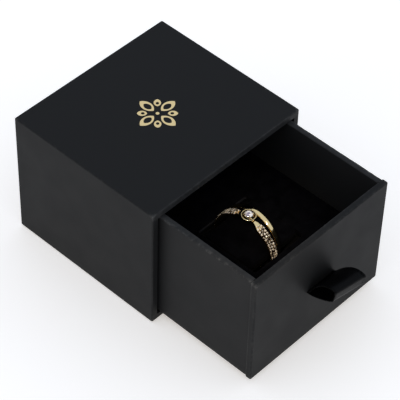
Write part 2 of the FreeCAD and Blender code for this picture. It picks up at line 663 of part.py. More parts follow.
def make_small_stones():
    """Two staggered rows of small stones in the channel, leaving out those under the collar."""
    radius, outer = size("SmallStoneRadius"), size("RingOuter")
    crown, pavilion = size("SmallStoneCrown"), size("SmallStonePavilion")
    girdle = outer - size("ChannelDepth") + pavilion + size("BandTouch")
    step = size("SmallStonePitch") / outer
    reach = math.radians(size("ChannelSpanDegrees") / 2) - step
    under_collar = (size("CollarOuter") + 2 * radius) / outer
    row_offset = size("ChannelWidth") / 2 - radius
    quarter_pitch = 0.25
    stones = []
    count = int(reach / step)
    for row in (-1, 1):
        for number in range(-count, count + 1):
            angle = (number + row * quarter_pitch) * step
            if abs(angle) > under_collar:
                stone = gem(radius, crown, pavilion, girdle, 8)
                stone.translate(FreeCAD.Vector(row * row_offset, 0, 0))
                stone.rotate(FreeCAD.Vector(0, 0, 0), FreeCAD.Vector(1, 0, 0), math.degrees(angle))
                stones.append(stone)
    return Part.makeCompound(stones)


def make_ring():
    """The two bands, the collar with its claws, the centre stone and the small stones."""
    make_stone_band()
    place_on_ring(solid_feature("ring_plain_band", plain_band_shape()))
    make_collar()
    place_on_ring(solid_feature("ring_claws", make_claws()))
    girdle = size("RingOuter") + size("StoneLift")
    centre_stone = gem(size("StoneRadius"), size("StoneCrown"), size("StonePavilion"), girdle, 16)
    place_on_ring(solid_feature("ring_centre_stone", centre_stone))
    place_on_ring(solid_feature("ring_small_stones", make_small_stones()))


# ---------------------------------------------------------------- check and write

def check_and_write():
    """Stop at a failed feature or a bad shape, then write one STEP file for each piece."""
    doc.recompute()
    for thing in doc.Objects:
        if "Invalid" in thing.State or "Error" in thing.State:
            raise RuntimeError("%s failed: %s" % (thing.Name, thing.State))
    for piece in finished:
        shape = piece.Shape
        if shape.isNull() or not shape.isValid() or not shape.Solids:
            raise RuntimeError("%s has no valid shape" % piece.Label)
    os.makedirs("parts", exist_ok=True)
    for piece in finished:
        piece.Shape.exportStep("parts/%s.step" % piece.Label)
        print("%-22s %2d solid(s) %9.2f mm3" % (piece.Label, len(piece.Shape.Solids), piece.Shape.Volume))


fill_sheet()
make_sleeve_boards()
make_sleeve_papers()
make_foil()
make_drawer_front()
make_tray_boards()
make_tray_papers()
make_insert()
make_tongue()
make_ribbon()
make_ring()
check_and_write()
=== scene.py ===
import math

import bmesh
import bpy
from mathutils import Matrix, Vector, noise


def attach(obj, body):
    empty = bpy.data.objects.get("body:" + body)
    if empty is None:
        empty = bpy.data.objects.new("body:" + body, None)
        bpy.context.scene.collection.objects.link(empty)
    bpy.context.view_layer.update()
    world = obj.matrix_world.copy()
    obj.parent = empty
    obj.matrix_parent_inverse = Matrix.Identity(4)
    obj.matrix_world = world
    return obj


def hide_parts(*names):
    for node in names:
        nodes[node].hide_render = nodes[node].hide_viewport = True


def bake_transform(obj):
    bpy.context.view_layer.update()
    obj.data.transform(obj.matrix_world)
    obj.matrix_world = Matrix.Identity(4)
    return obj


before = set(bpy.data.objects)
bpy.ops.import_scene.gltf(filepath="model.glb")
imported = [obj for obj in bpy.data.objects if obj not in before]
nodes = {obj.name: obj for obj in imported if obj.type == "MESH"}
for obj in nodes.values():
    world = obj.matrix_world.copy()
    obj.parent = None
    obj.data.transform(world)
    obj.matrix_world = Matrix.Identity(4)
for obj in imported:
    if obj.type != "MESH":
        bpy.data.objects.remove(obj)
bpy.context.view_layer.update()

# ---------------- greyboards
# Ten solid boards pressed from recycled fibre, cut square and glued edge to edge: five make the
# sleeve, four the tray, and one more stands in front of it. The wrapping papers hide them.

MM = 0.001
GREYBOARD_COLOUR, GREYBOARD_FLECK = "#8C8983", "#5F5C57"
GREYBOARD_FIBRE_MM = 0.35
FIBRE = {"Detail": 4.0, "Roughness": 0.7}
# Numbers of a Mix node's inputs: how much of the second colour, the first, and the second.
SHARE, FIRST, SECOND = 0, 6, 7


def linear(colour):
    """An sRGB hex colour as linear red, green, blue and alpha."""
    parts = [int(colour[start:start + 2], 16) / 255 for start in (1, 3, 5)]
    return [part / 12.92 if part <= 0.04045 else ((part + 0.055) / 1.055) ** 2.4 for part in parts] + [1.0]


def add_node(tree, kind, inputs, **settings):
    """Add a node with its settings. Its inputs are given by name, by number or in order, each as a
    value or as the node or socket that feeds it. A kind with no Node in it is a shader node's."""
    node = tree.nodes.new(kind if "Node" in kind else "ShaderNode" + kind)
    for name, value in settings.items():
        setattr(node, name, value)
    for name, value in inputs.items() if isinstance(inputs, dict) else enumerate(inputs):
        if isinstance(value, bpy.types.Node):
            value = next(socket for socket in value.outputs if socket.enabled)
        if isinstance(value, bpy.types.NodeSocket):
            tree.links.new(value, node.inputs[name])
        else:
            node.inputs[name].default_value = value
    return node


def new_material(name):
    """An empty material, its node tree, and the position on the piece in metres."""
    material = bpy.data.materials.new(name)
    material.use_nodes = True
    tree = material.node_tree
    tree.nodes.clear()
    return material, tree, add_node(tree, "TexCoord", {}).outputs["Object"]


def finished_material(material, tree, look):
    """A material, once its surface has got its look."""
    add_node(tree, "OutputMaterial", {"Surface": add_node(tree, "BsdfPrincipled", look)})
    return material


def flecked(name, pattern, size_mm, shape, dark, light, relief, look):
    """A material flecked between two colours by a pattern, and raised a little by it."""
    material, tree, place = new_material(name)
    flecks = add_node(tree, pattern, {"Vector": place, "Scale": 1 / (size_mm * MM), **shape})
    colour = add_node(tree, "Mix", {
        SHARE: flecks, FIRST: linear(dark), SECOND: linear(light)}, data_type="RGBA")
    bump = add_node(tree, "Bump", {"Height": flecks, **relief})
    return finished_material(material, tree, {"Base Color": colour, "Normal": bump, **look})


def dress(material, *names):
    """Give CAD nodes a material."""
    for name in names:
        mesh = nodes[name].data
        mesh.materials.clear()
        mesh.materials.append(material)


# Greyboard, pressed: dull grey, with darker fibre flecks.
greyboard = flecked("greyboard_pressed", "TexNoise", GREYBOARD_FIBRE_MM, FIBRE, GREYBOARD_FLECK,
                    GREYBOARD_COLOUR, {"Strength": 0.4, "Distance": 0.05 * MM}, {"Roughness": 0.85})
dress(greyboard, *[name for name in nodes if name.endswith("_board")])

# ---------------- sleeve papers
# Black art paper with a soft-touch film, glued over the boards and turned in round the mouth. A
# lining sheet covers the inside and a base sheet covers the raw edges of the wrap underneath.

# The second colour is the paler colour of the edges: partly handling wear, partly a painted highlight of
# their rounded edges.
PAPER_COLOUR, PAPER_WORN_AND_LIT = "#1F1F1F", "#5E5D5A"
# The film's real grain is about 0.05 mm. It is drawn coarser, so that it shows.
PAPER_GRAIN_MM = 0.22
# The film's sheen drifts in clouds this wide. Wear comes in rubs and, inside them, in specks; the rubs also
# mottle the painted light.
PAPER_CLOUD_MM, PAPER_RUB_AND_LIGHT_MOTTLE_MM, PAPER_SPECK_MM = 7.0, 1.5, 0.55
PAPER_EDGE_MM, PAPER_CORNER_MM = 0.9, 1.8
# Inside a given box the paper is painted paler as painted light. This is how softly that fades in.
PAINTED_LIGHT_FADE_MM = 0.3
# How far a stretch of painted light reaches past the outside of the box, which is more than its fade.
PAINTED_LIGHT_OUTSIDE = 1.0
# On the sleeve the edges get wear with a painted highlight, and the mouth's turned-in end is painted paler,
# as painted light that its rounded edge would catch.
SLEEVE_WEAR_AND_HIGHLIGHT, MOUTH_PAINTED_LIGHT = 0.15, 0.9
MOUTH_PAINTED_LIGHT_BACK, MOUTH_PAINTED_LIGHT_DOWN = 0.4, 2.1
LINING_COLOUR, LINING_FIBRE = "#0D0D0E", "#1A1A1B"
LINING_FIBRE_MM = 0.5


def cad_box(name):
    """The low and the high corner of a CAD node's box, in millimetres."""
    corners = [vertex.co / MM for vertex in nodes[name].data.vertices]
    return [tuple(round(end(corner[axis] for corner in corners), 3) for axis in range(3))
            for end in (min, max)]


def depths_in_box(tree, place, low, high):
    """How deep a point lies in a box given in millimetres: its least, middle and greatest depth."""
    centre = [(a + b) / 2 * MM for a, b in zip(low, high)]
    half = [(b - a) / 2 * MM for a, b in zip(low, high)]
    from_centre = add_node(tree, "VectorMath", [place, centre], operation="SUBTRACT")
    reach = add_node(tree, "VectorMath", [from_centre], operation="ABSOLUTE")
    inside = add_node(tree, "VectorMath", [half, reach], operation="SUBTRACT")
    x, y, z = add_node(tree, "SeparateXYZ", [inside]).outputs
    least, most, total = [
        add_node(tree, "Math", [add_node(tree, "Math", [x, y], operation=kind), z], operation=kind)
        for kind in ("MINIMUM", "MAXIMUM", "ADD")]
    others = add_node(tree, "Math", [total, least], operation="SUBTRACT")
    middle = add_node(tree, "Math", [others, most], operation="SUBTRACT")
    return least, middle, most


def wrapping_paper(name, low, high, edge_wear_and_highlight, painted_light_low, painted_light_high, painted_light_gain):
    """Art paper, film-laminated: matt black, fine grain, paler along its edges from handling scuffs and a
    painted highlight, and paler inside a given box as painted light.
    """
    material, tree, place = new_material(name)
    grain, cloud, rub_and_light_mottle, speck = [
        add_node(tree, "TexNoise", {
            "Vector": place, "Scale": 1 / (size * MM), "Detail": detail, "Roughness": roughness})
        for size, detail, roughness in ((PAPER_GRAIN_MM, 3.0, 0.6), (PAPER_CLOUD_MM, 3.0, 0.5),
                                        (PAPER_RUB_AND_LIGHT_MOTTLE_MM, 5.0, 0.65), (PAPER_SPECK_MM, 2.0, 0.8))]
    in_painted_light = depths_in_box(tree, place, painted_light_low, painted_light_high)[0]
    from_edge, from_corner = depths_in_box(tree, place, low, high)[1:]
    painted_light_area, near_edge, at_corner = [
        add_node(tree, "MapRange", ranges, interpolation_type="SMOOTHSTEP")
        for ranges in ((in_painted_light, 0.0, PAINTED_LIGHT_FADE_MM * MM), (from_edge, PAPER_EDGE_MM * MM, 0.0),
                       (from_corner, PAPER_CORNER_MM * MM, 0.0, 0.0, 0.75))]
    painted_light_mottle, clouded, along_edge, specked, sheen = [
        add_node(tree, "MapRange", ranges)
        for ranges in ((rub_and_light_mottle, 0.35, 0.65, 0.6 * painted_light_gain, 1.4 * painted_light_gain), (cloud, 0.3, 0.7, 0.94, 1.06),
                       (rub_and_light_mottle, 0.46, 0.66, 0.06 * edge_wear_and_highlight, 0.8 * edge_wear_and_highlight), (speck, 0.42, 0.6, 0.3, 1.0),
                       (cloud, 0.3, 0.7, 0.5, 0.6))]
    # Painted light: inside the given box the paper is made paler, mottled by the rubs.
    pale = add_node(tree, "Math", [painted_light_area, painted_light_mottle], operation="MULTIPLY")
    tone = add_node(tree, "Math", [clouded, pale], operation="ADD")
    base = add_node(tree, "Mix", {
        SHARE: 1.0, FIRST: linear(PAPER_COLOUR), SECOND: tone}, data_type="RGBA", blend_type="MULTIPLY")
    # Along every edge, strongest at corners and broken into specks: partly wear, partly a painted highlight.
    rubbed_and_lit = add_node(tree, "Math", [along_edge, at_corner], operation="MAXIMUM")
    worn_and_lit = add_node(tree, "Math", [near_edge, rubbed_and_lit], operation="MULTIPLY")
    wear_and_highlight = add_node(tree, "Math", [worn_and_lit, specked], operation="MULTIPLY")
    colour = add_node(tree, "Mix", {SHARE: wear_and_highlight, FIRST: base, SECOND: linear(PAPER_WORN_AND_LIT)}, data_type="RGBA")
    bump = add_node(tree, "Bump", {"Height": grain, "Strength": 0.35, "Distance": 0.02 * MM})
    return finished_material(material, tree, {
        "Base Color": colour, "Roughness": sheen, "Specular IOR Level": 0.09, "Normal": bump})


sleeve_low, sleeve_high = cad_box("sleeve_wrap_paper")
# The box of painted light over the mouth's turned-in end.
mouth_low = (sleeve_low[0] - PAINTED_LIGHT_OUTSIDE, sleeve_low[1] - PAINTED_LIGHT_OUTSIDE, sleeve_high[2] - MOUTH_PAINTED_LIGHT_DOWN)
mouth_high = (sleeve_high[0] + PAINTED_LIGHT_OUTSIDE, sleeve_low[1] + MOUTH_PAINTED_LIGHT_BACK, sleeve_high[2] + PAINTED_LIGHT_OUTSIDE)
sleeve_paper = wrapping_paper("black_art_paper_film_laminated_sleeve", sleeve_low, sleeve_high, SLEEVE_WEAR_AND_HIGHLIGHT,
                              mouth_low, mouth_high, MOUTH_PAINTED_LIGHT)
dress(sleeve_paper, "sleeve_wrap_paper", "sleeve_base_paper")

# Black kraft paper, uncoated: duller and darker than the wrap, with a short fibre.
lining_paper = flecked("black_kraft_paper_uncoated", "TexNoise", LINING_FIBRE_MM, FIBRE, LINING_COLOUR,
                       LINING_FIBRE, {"Strength": 0.5, "Distance": 0.03 * MM},
                       {"Roughness": 0.9, "Specular IOR Level": 0.05})
dress(lining_paper, "sleeve_lining_paper")

# ---------------- foil ornament
# A rosette of leaf outlines in pale gold foil, pressed into the top of the sleeve with a hot die.
# The foil is far thinner than paper and takes the paper's grain.

FOIL_COLOUR = "#FCE1A6"
FOIL_MOTTLE_MM = 0.5


def hot_foil():
    """Metallised foil, hot-stamped: pale gold, half bright, mottled by the paper under it."""
    material, tree, place = new_material("gold_foil_hot_stamped")
    mottle = add_node(tree, "TexNoise", {
        "Vector": place, "Scale": 1 / (FOIL_MOTTLE_MM * MM), "Detail": 4.0, "Roughness": 0.6})
    roughness = add_node(tree, "MapRange", [mottle, 0.3, 0.7, 0.28, 0.5])
    grain = add_node(tree, "TexNoise", {
        "Vector": place, "Scale": 1 / (PAPER_GRAIN_MM * MM), "Detail": 2.0})
    bump = add_node(tree, "Bump", {"Height": grain, "Strength": 0.5, "Distance": 0.02 * MM})
    return finished_material(material, tree, {
        "Base Color": linear(FOIL_COLOUR), "Metallic": 1.0, "Roughness": roughness, "Normal": bump})


dress(hot_foil(), "foil_ornament")

# ---------------- drawer papers
# The same paper wraps the drawer: one sheet round the front board, with a slot for the ribbon, and
# one round the tray, turned over its rims. A lining sheet covers the front board's back.

# The tray's edges get wear with a painted highlight, and its rim top is painted paler, as painted light that
# the rounded rim would catch.
FRONT_WEAR_AND_HIGHLIGHT, TRAY_WEAR_AND_HIGHLIGHT, RIM_PAINTED_LIGHT, RIM_PAINTED_LIGHT_DOWN = 0.4, 1.0, 0.8, 0.4
# The tray's front end is glued behind the front board, so its edge wear and painted edge highlight count from
# further forward.
TRAY_EDGE_MARKS_AHEAD = 1.05
TRAY_GAP = 0.01
TRAY_WALL, TRAY_PAPER = 1.75, 0.2
TRAY_HEM = 0.1
TRAY_INSIDE_FLOOR = 4.3
RIM_ROUND, RIM_INNER_ROUND, RIM_INNER_LIFT, RIM_DEPTH = 0.45, 0.3, 0.02, 1.2
RIM_STEPS, RIM_INNER_STEPS = 5, 4
# The rim's flat stretch bulges: how far in from the outside, and how high.
RIM_CROWN = ((0.7, 0.036), (1.05, 0.06))
RIM_PAPER_DEPTH, RIM_PAPER_OUTER, RIM_PAPER_INNER = 0.5, 0.5, 0.4
OUTSIDE_ROWS, INSIDE_ROW = (20.0, 34.0), 30.0
TRAY_STATIONS = 70
WRINKLE, WRINKLE_MM, WRINKLE_DEPTH = 0.1, 0.9, 1.0
UNDERSIDE_CORNER = 0.3
CORNER_STEPS, SIDE_STEPS = 5, 14
# A rounded corner takes no more than this share of a side.
CORNER_MOST = 0.49

front_low, front_high = cad_box("drawer_front_paper")
tray_low, tray_high = cad_box("drawer_wrap_paper")
tray_front = tray_low[1] + TRAY_GAP
# The box of painted light over the tray's rim top.
rim_low = (tray_low[0] - PAINTED_LIGHT_OUTSIDE, tray_low[1] - PAINTED_LIGHT_OUTSIDE, tray_high[2] - RIM_PAINTED_LIGHT_DOWN)
rim_high = tuple(edge + PAINTED_LIGHT_OUTSIDE for edge in tray_high)
front_paper = wrapping_paper("black_art_paper_film_laminated_front", front_low, front_high, FRONT_WEAR_AND_HIGHLIGHT,
                             front_low, front_high, painted_light_gain=0.0)
tray_paper = wrapping_paper("black_art_paper_film_laminated_tray",
                            (tray_low[0], tray_low[1] - TRAY_EDGE_MARKS_AHEAD, tray_low[2]), tray_high, TRAY_WEAR_AND_HIGHLIGHT,
                            rim_low, rim_high, RIM_PAINTED_LIGHT)
dress(front_paper, "drawer_front_paper", "drawer_front_lining")
dress(tray_paper, "drawer_floor_paper")


def rounded_rectangle(left, right, front, back, radius, height):
    """Points round a rectangle with rounded corners, always as many, in millimetres."""
    radius = min(radius, CORNER_MOST * (right - left), CORNER_MOST * (back - front))
    middles = [(right - radius, back - radius), (left + radius, back - radius),
               (left + radius, front + radius), (right - radius, front + radius)]
    points = []
    for number, (x, y) in enumerate(middles):
        for step in range(CORNER_STEPS + 1):
            angle = math.radians(90 * (number + step / CORNER_STEPS))
            points.append(Vector((x + radius * math.cos(angle), y + radius * math.sin(angle), height)))
        end = points[-1]
        next_x, next_y = middles[(number + 1) % 4]
        angle = math.radians(90 * (number + 1))
        start = Vector((next_x + radius * math.cos(angle), next_y + radius * math.sin(angle), height))
        points += [end.lerp(start, step / SIDE_STEPS) for step in range(1, SIDE_STEPS)]
    return points


def quarter_round(radius, steps):
    """A quarter circle from a side up to a top: how far in, and how far below the top."""
    turns = [math.radians(90 * step / steps) for step in range(steps + 1)]
    return [(radius * (1 - math.cos(turn)), radius * (1 - math.sin(turn))) for turn in turns]


def shell(rings, joined=False, capped=True):
    """A mesh over rings of points in millimetres, joined up to a hoop or capped at both ends."""
    around, count = len(rings[0]), len(rings)
    mesh = bpy.data.meshes.new("shell")
    faces = []
    for ring in range(count if joined else count - 1):
        here, there = ring * around, (ring + 1) % count * around
        for step in range(around):
            after = (step + 1) % around
            faces.append((here + step, here + after, there + after, there + step))
    if capped and not joined:
        faces.append(tuple(reversed(range(around))))
        faces.append(tuple(range((count - 1) * around, count * around)))
    mesh.from_pydata([Vector(point) * MM for ring in rings for point in ring], [], faces)
    shape = bmesh.new()
    shape.from_mesh(mesh)
    bmesh.ops.recalc_face_normals(shape, faces=shape.faces)
    shape.to_mesh(mesh)
    shape.free()
    return mesh


def finished_piece(name, mesh, material, sharp_degrees=50):
    """A mesh as a piece in the scene, smooth but for its sharp edges."""
    mesh.name = name
    mesh.polygons.foreach_set("use_smooth", [True] * len(mesh.polygons))
    mesh.set_sharp_from_angle(angle=math.radians(sharp_degrees))
    mesh.materials.clear()
    mesh.materials.append(material)
    piece = bpy.data.objects.new(name, mesh)
    bpy.context.scene.collection.objects.link(piece)
    return piece


def fit(piece, body, slot, *replaced):
    """Give a piece its body, and hide the CAD nodes that it stands for. Its slot is not used."""
    if replaced:
        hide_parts(*replaced)
    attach(piece, body)


def rim_section():
    """Section of the turned-over paper: how far in from the tray's outside, and how high."""
    top, hem = tray_high[2], tray_low[2] + TRAY_HEM
    outer = [(0.0, height) for height in (hem, *OUTSIDE_ROWS, top - RIM_DEPTH)]
    outer += [(into, top - below) for into, below in quarter_round(RIM_ROUND, RIM_STEPS)]
    outer += [(into, top + rise) for into, rise in RIM_CROWN]
    outer += [(TRAY_WALL - into, top - below + RIM_INNER_LIFT)
              for into, below in reversed(quarter_round(RIM_INNER_ROUND, RIM_INNER_STEPS))]
    outer += [(TRAY_WALL, height) for height in (top - RIM_DEPTH, INSIDE_ROW, TRAY_INSIDE_FLOOR)]
    inner = [(TRAY_WALL - TRAY_PAPER, TRAY_INSIDE_FLOOR), (TRAY_WALL - TRAY_PAPER, top - RIM_PAPER_DEPTH),
             (TRAY_WALL - RIM_PAPER_INNER, top - TRAY_PAPER), (RIM_PAPER_OUTER, top - TRAY_PAPER),
             (TRAY_PAPER, top - RIM_PAPER_DEPTH), (TRAY_PAPER, hem)]
    return outer, inner


def tray_wrap():
    """The turned-over paper swept round three walls, a little wrinkled along the rim."""
    outer, inner = rim_section()
    left, right, back = tray_low[0], tray_high[0], tray_high[1]
    corners = [(left, tray_front), (left, back), (right, back), (right, tray_front)]
    inward = [(1, 0), (1, -1), (-1, -1), (-1, 0)]
    rings = []
    for side in range(3):
        for step in range(TRAY_STATIONS + (side == 2)):
            ring = []
            for number, (into, height) in enumerate(outer + inner):
                start, end = [Vector((corners[at][0] + inward[at][0] * into,
                                      corners[at][1] + inward[at][1] * into, height))
                              for at in (side, side + 1)]
                point = start.lerp(end, step / TRAY_STATIONS)
                if number < len(outer) and height > tray_high[2] - WRINKLE_DEPTH:
                    point.z += WRINKLE * noise.noise(point / WRINKLE_MM)
                ring.append(point)
            rings.append(ring)
    return finished_piece("tray_wrap", shell(rings), tray_paper, sharp_degrees=40)


underside = [rounded_rectangle(tray_low[0], tray_high[0], tray_front, tray_high[1], UNDERSIDE_CORNER, height)
             for height in (tray_low[2], tray_low[2] + TRAY_PAPER)]
fit(tray_wrap(), "drawer", "black_paper", "drawer_wrap_paper")
fit(finished_piece("tray_underside_wrap", shell(underside), tray_paper), "drawer", "black_paper")

# ---------------- foam insert
# A block of black foam with a trough for the ring, and a foam plate on it with a U-shaped cut. Both
# are die-cut, so their edges are drawn down and slightly round. They are pushed in, without glue.

FOAM_CELL_COLOUR, FOAM_COLOUR = "#020202", "#08080A"
FOAM_CELL_MM = 0.3
FOAM_BLOCK_EDGE, FOAM_ROLL = 0.35, 0.7
# Share of its CAD solid that a soft piece fills.
VELVET_THICK = 0.45
# The plate's opening holds the tongue and the ring: left, right, front and back.
WINDOW = (-8.9, 9.5, -43.9, -23.78)
WINDOW_CORNER, WELL_CORNER = 0.5, 0.6
# The tongue stays joined on its right, and no cut draws the edges down there.
ROOT_ROLL = 0.1
ROLL_STEPS, ACROSS_STEPS, BEVEL_STEPS = 6, 16, 3
# A solid's points closer than this are one, and its faces that bend less than this are one.
ONE_POINT_MM, ONE_FACE_DEGREES = 0.001, 1

(well_left, well_front, plate_low), (well_right, well_back, plate_high) = cad_box("insert_pad")
velvet_top = cad_box("insert_pad_velvet")[1][2]
well = (well_left, well_right, well_front, well_back)


def apply_modifier(piece, kind, **settings):
    """Turn what a modifier makes of a piece into its plain mesh."""
    modifier = piece.modifiers.new(kind.lower(), kind)
    for name, value in settings.items():
        setattr(modifier, name, value)
    view = bpy.context.evaluated_depsgraph_get()
    made = bpy.data.meshes.new_from_object(piece.evaluated_get(view))
    piece.modifiers.clear()
    piece.data = made


def die_cut(node, name, edge_mm, material):
    """A die-cut foam piece: the CAD solid with its loose faces merged and its edges drawn round."""
    mesh = nodes[node].data.copy()
    shape = bmesh.new()
    shape.from_mesh(mesh)
    bmesh.ops.remove_doubles(shape, verts=shape.verts, dist=ONE_POINT_MM * MM)
    bmesh.ops.dissolve_limit(shape, angle_limit=math.radians(ONE_FACE_DEGREES), verts=shape.verts,
                             edges=shape.edges)
    shape.to_mesh(mesh)
    shape.free()
    piece = finished_piece(name, mesh, material, sharp_degrees=30)
    apply_modifier(piece, "BEVEL", width=edge_mm * MM, segments=BEVEL_STEPS, limit_method="ANGLE")
    return piece


def grown(box, by):
    """A rectangle with its sides moved outwards by some millimetres each: left, right, front, back."""
    return (box[0] - by[0], box[1] + by[1], box[2] - by[2], box[3] + by[3])


def roll_over(radius, skirt):
    """Steps of a cut edge's section: how far in from the cut, and how far below the top."""
    return [(0.0, skirt), (0.0, (skirt + radius) / 2)] + quarter_round(radius, ROLL_STEPS)


def plate_rings(window, outside, top, roll, skirt, crown):
    """Rings of a plate's skin, from inside its window, over its top, to down beside its outer edge."""
    rings = []
    for inward, below in roll_over(roll, skirt):
        ring = grown(window, (inward, inward * ROOT_ROLL, inward, inward))
        rings.append(rounded_rectangle(*ring, WINDOW_CORNER + inward, top - below))
    inner = grown(window, (roll, roll * ROOT_ROLL, roll, roll))
    outer = grown(outside, (-roll,) * 4)
    for step in range(1, ACROSS_STEPS):
        share = step / ACROSS_STEPS
        ring = [a + (b - a) * share for a, b in zip(inner, outer)]
        height = top + crown * (1 - (2 * share - 1) ** 4)
        rings.append(rounded_rectangle(*ring, WINDOW_CORNER + roll + share, height))
    for inward, below in reversed(roll_over(roll, skirt)):
        rings.append(rounded_rectangle(*grown(outside, (-inward,) * 4), WELL_CORNER + inward, top - below))
    return rings


# Polyurethane foam, die-cut: dull black, with open cells.
black_foam = flecked("black_foam_die_cut", "TexVoronoi", FOAM_CELL_MM, {}, FOAM_CELL_COLOUR, FOAM_COLOUR,
                     {"Strength": 0.8, "Distance": 0.1 * MM},
                     {"Roughness": 0.95, "Specular IOR Level": 0.1})
foam_block = die_cut("insert_foam_block", "foam_block", FOAM_BLOCK_EDGE, black_foam)
fit(foam_block, "drawer", "black_foam", "insert_foam_block")

foam_window = grown(WINDOW, (VELVET_THICK, 0.0, VELVET_THICK, VELVET_THICK))
foam_rings = plate_rings(foam_window, grown(well, (-VELVET_THICK,) * 4), plate_high, FOAM_ROLL,
                         plate_high - plate_low, crown=0.0)
foam_plate = finished_piece("foam_plate", shell(foam_rings, joined=True), black_foam)
fit(foam_plate, "drawer", "black_foam", "insert_pad")

# ---------------- velvet on the plate
# Black flocked velvet, laminated to the foam plate before the U-shaped cut is made. The cut draws it
# down round every edge, and the pile hides where the foam starts.

VELVET_COLOUR, VELVET_CUT_COLOUR = "#08080A", "#262628"
# One fibre of the pile is about 0.02 mm wide. It is drawn as tufts, so that it shows.
VELVET_PILE_MM = 0.3
VELVET_STROKE_MM = 3.5
VELVET_ROLL, VELVET_SKIRT, VELVET_CROWN = 0.6, 1.6, 0.18
VELVET_DENT, VELVET_DENT_MM = 0.05, 6.0
# Points closer to a surface than this lie on it.
ON_SURFACE = 0.01
# The cut face shows its ground this far to each side of the slit, from one depth to another.
CUT_REACH, CUT_TOP, CUT_BOTTOM = 0.25, 0.25, 1.0


def velvet():
    """Nylon velvet, flocked: deep black, its short pile painted lighter and darker in patches as painted
    sheen, its cut edge paler.
    """
    material, tree, place = new_material("black_velvet_flocked")
    pile = add_node(tree, "TexNoise", {
        "Vector": place, "Scale": 1 / (VELVET_PILE_MM * MM), "Detail": 4.0, "Roughness": 0.75})
    stroke = add_node(tree, "TexNoise", {
        "Vector": place, "Scale": 1 / (VELVET_STROKE_MM * MM), "Detail": 3.0, "Distortion": 0.6})
    # Painted sheen: the pile's colour is made lighter and darker in patches, as its sheen would show where it
    # leans.
    lean = add_node(tree, "MapRange", [stroke, 0.35, 0.65, 0.6, 1.3])
    bare = add_node(tree, "MapRange", [stroke, 0.4, 0.6, 0.35, 1.0])
    with_painted_sheen = add_node(tree, "Mix", {
        SHARE: 1.0, FIRST: linear(VELVET_COLOUR), SECOND: lean}, data_type="RGBA", blend_type="MULTIPLY")
    _, along, up = add_node(tree, "SeparateXYZ", [place]).outputs
    at_cut = add_node(tree, "Math", [along, WINDOW[3] * MM, CUT_REACH * MM], operation="COMPARE")
    middle, half = (velvet_top - (CUT_TOP + CUT_BOTTOM) / 2) * MM, (CUT_BOTTOM - CUT_TOP) / 2 * MM
    at_depth = add_node(tree, "Math", [up, middle, half], operation="COMPARE")
    cut_face = add_node(tree, "Math", [at_cut, at_depth], operation="MULTIPLY")
    cut = add_node(tree, "Math", [cut_face, bare], operation="MULTIPLY")
    colour = add_node(tree, "Mix", {
        SHARE: cut, FIRST: with_painted_sheen, SECOND: linear(VELVET_CUT_COLOUR)}, data_type="RGBA")
    bump = add_node(tree, "Bump", {"Height": pile, "Strength": 0.7, "Distance": 0.15 * MM})
    return finished_material(material, tree, {
        "Base Color": colour, "Roughness": 1.0, "Specular IOR Level": 0.0, "Sheen Weight": 0.01,
        "Sheen Roughness": 0.4, "Normal": bump})


def dented(rings, top):
    """Give a soft top shallow dents, and leave its edges where they are."""
    for ring in rings:
        for point in ring:
            if point.z > top - ON_SURFACE:
                point.z += VELVET_DENT * noise.noise(point / VELVET_DENT_MM)
    return rings


black_velvet = velvet()
velvet_rings = dented(plate_rings(WINDOW, well, velvet_top, VELVET_ROLL, VELVET_SKIRT, VELVET_CROWN),
                      velvet_top)
velvet_cover = finished_piece("velvet_cover", shell(velvet_rings, capped=False), black_velvet)
apply_modifier(velvet_cover, "SOLIDIFY", thickness=VELVET_THICK * MM, offset=-1.0)
fit(velvet_cover, "drawer", "black_velvet", "insert_pad_velvet")

# ---------------- tongue
# The part of plate and velvet inside the U-shaped cut, foam below and velvet above. It stays joined
# on its right, and bends up there when the ring is slipped over its free end.

TONGUE = (-8.5, 9.45, -41.9, -25.8)
TONGUE_CROWN = 0.12
# The rings close in on the middle and stop just short of it.
TONGUE_STEPS, TONGUE_REACH = 8, 0.97
# The hole that this leaves lies no further below the flat top.
HOLE_DEPTH = 0.2


def tongue_rings(box, top, bottom, roll, crown):
    """Rings of the tongue's skin, from its lower edge over its top to the middle."""
    rings = []
    for inward, below in roll_over(roll, top - bottom):
        ring = grown(box, (-inward, -inward * ROOT_ROLL, -inward, -inward))
        rings.append(rounded_rectangle(*ring, WINDOW_CORNER + inward, top - below))
    half = (box[3] - box[2]) / 2 - roll
    for step in range(1, TONGUE_STEPS + 1):
        share = step / TONGUE_STEPS * TONGUE_REACH
        side = -roll - half * share
        ring = grown(box, (side, -roll * ROOT_ROLL - half * share, side, side))
        rings.append(rounded_rectangle(*ring, WINDOW_CORNER + roll, top + crown * (1 - (1 - share) ** 4)))
    return rings


def close_top(mesh, top):
    """Close the small hole left in the middle of a tongue's top."""
    lid = bmesh.new()
    lid.from_mesh(mesh)
    lowest = (top - HOLE_DEPTH) * MM
    hole = [edge for edge in lid.edges if edge.is_boundary and edge.verts[0].co.z > lowest]
    bmesh.ops.contextual_create(lid, geom=hole)
    bmesh.ops.recalc_face_normals(lid, faces=lid.faces)
    lid.to_mesh(mesh)
    lid.free()


foam_tongue_box = grown(TONGUE, (-VELVET_THICK, 0.0, -VELVET_THICK, -VELVET_THICK))
foam_tongue_rings = tongue_rings(foam_tongue_box, plate_high, plate_low, FOAM_ROLL, crown=0.0)
foam_tongue = finished_piece("foam_tongue", shell(foam_tongue_rings), black_foam)
fit(foam_tongue, "tongue", "black_foam", "tongue_foam")

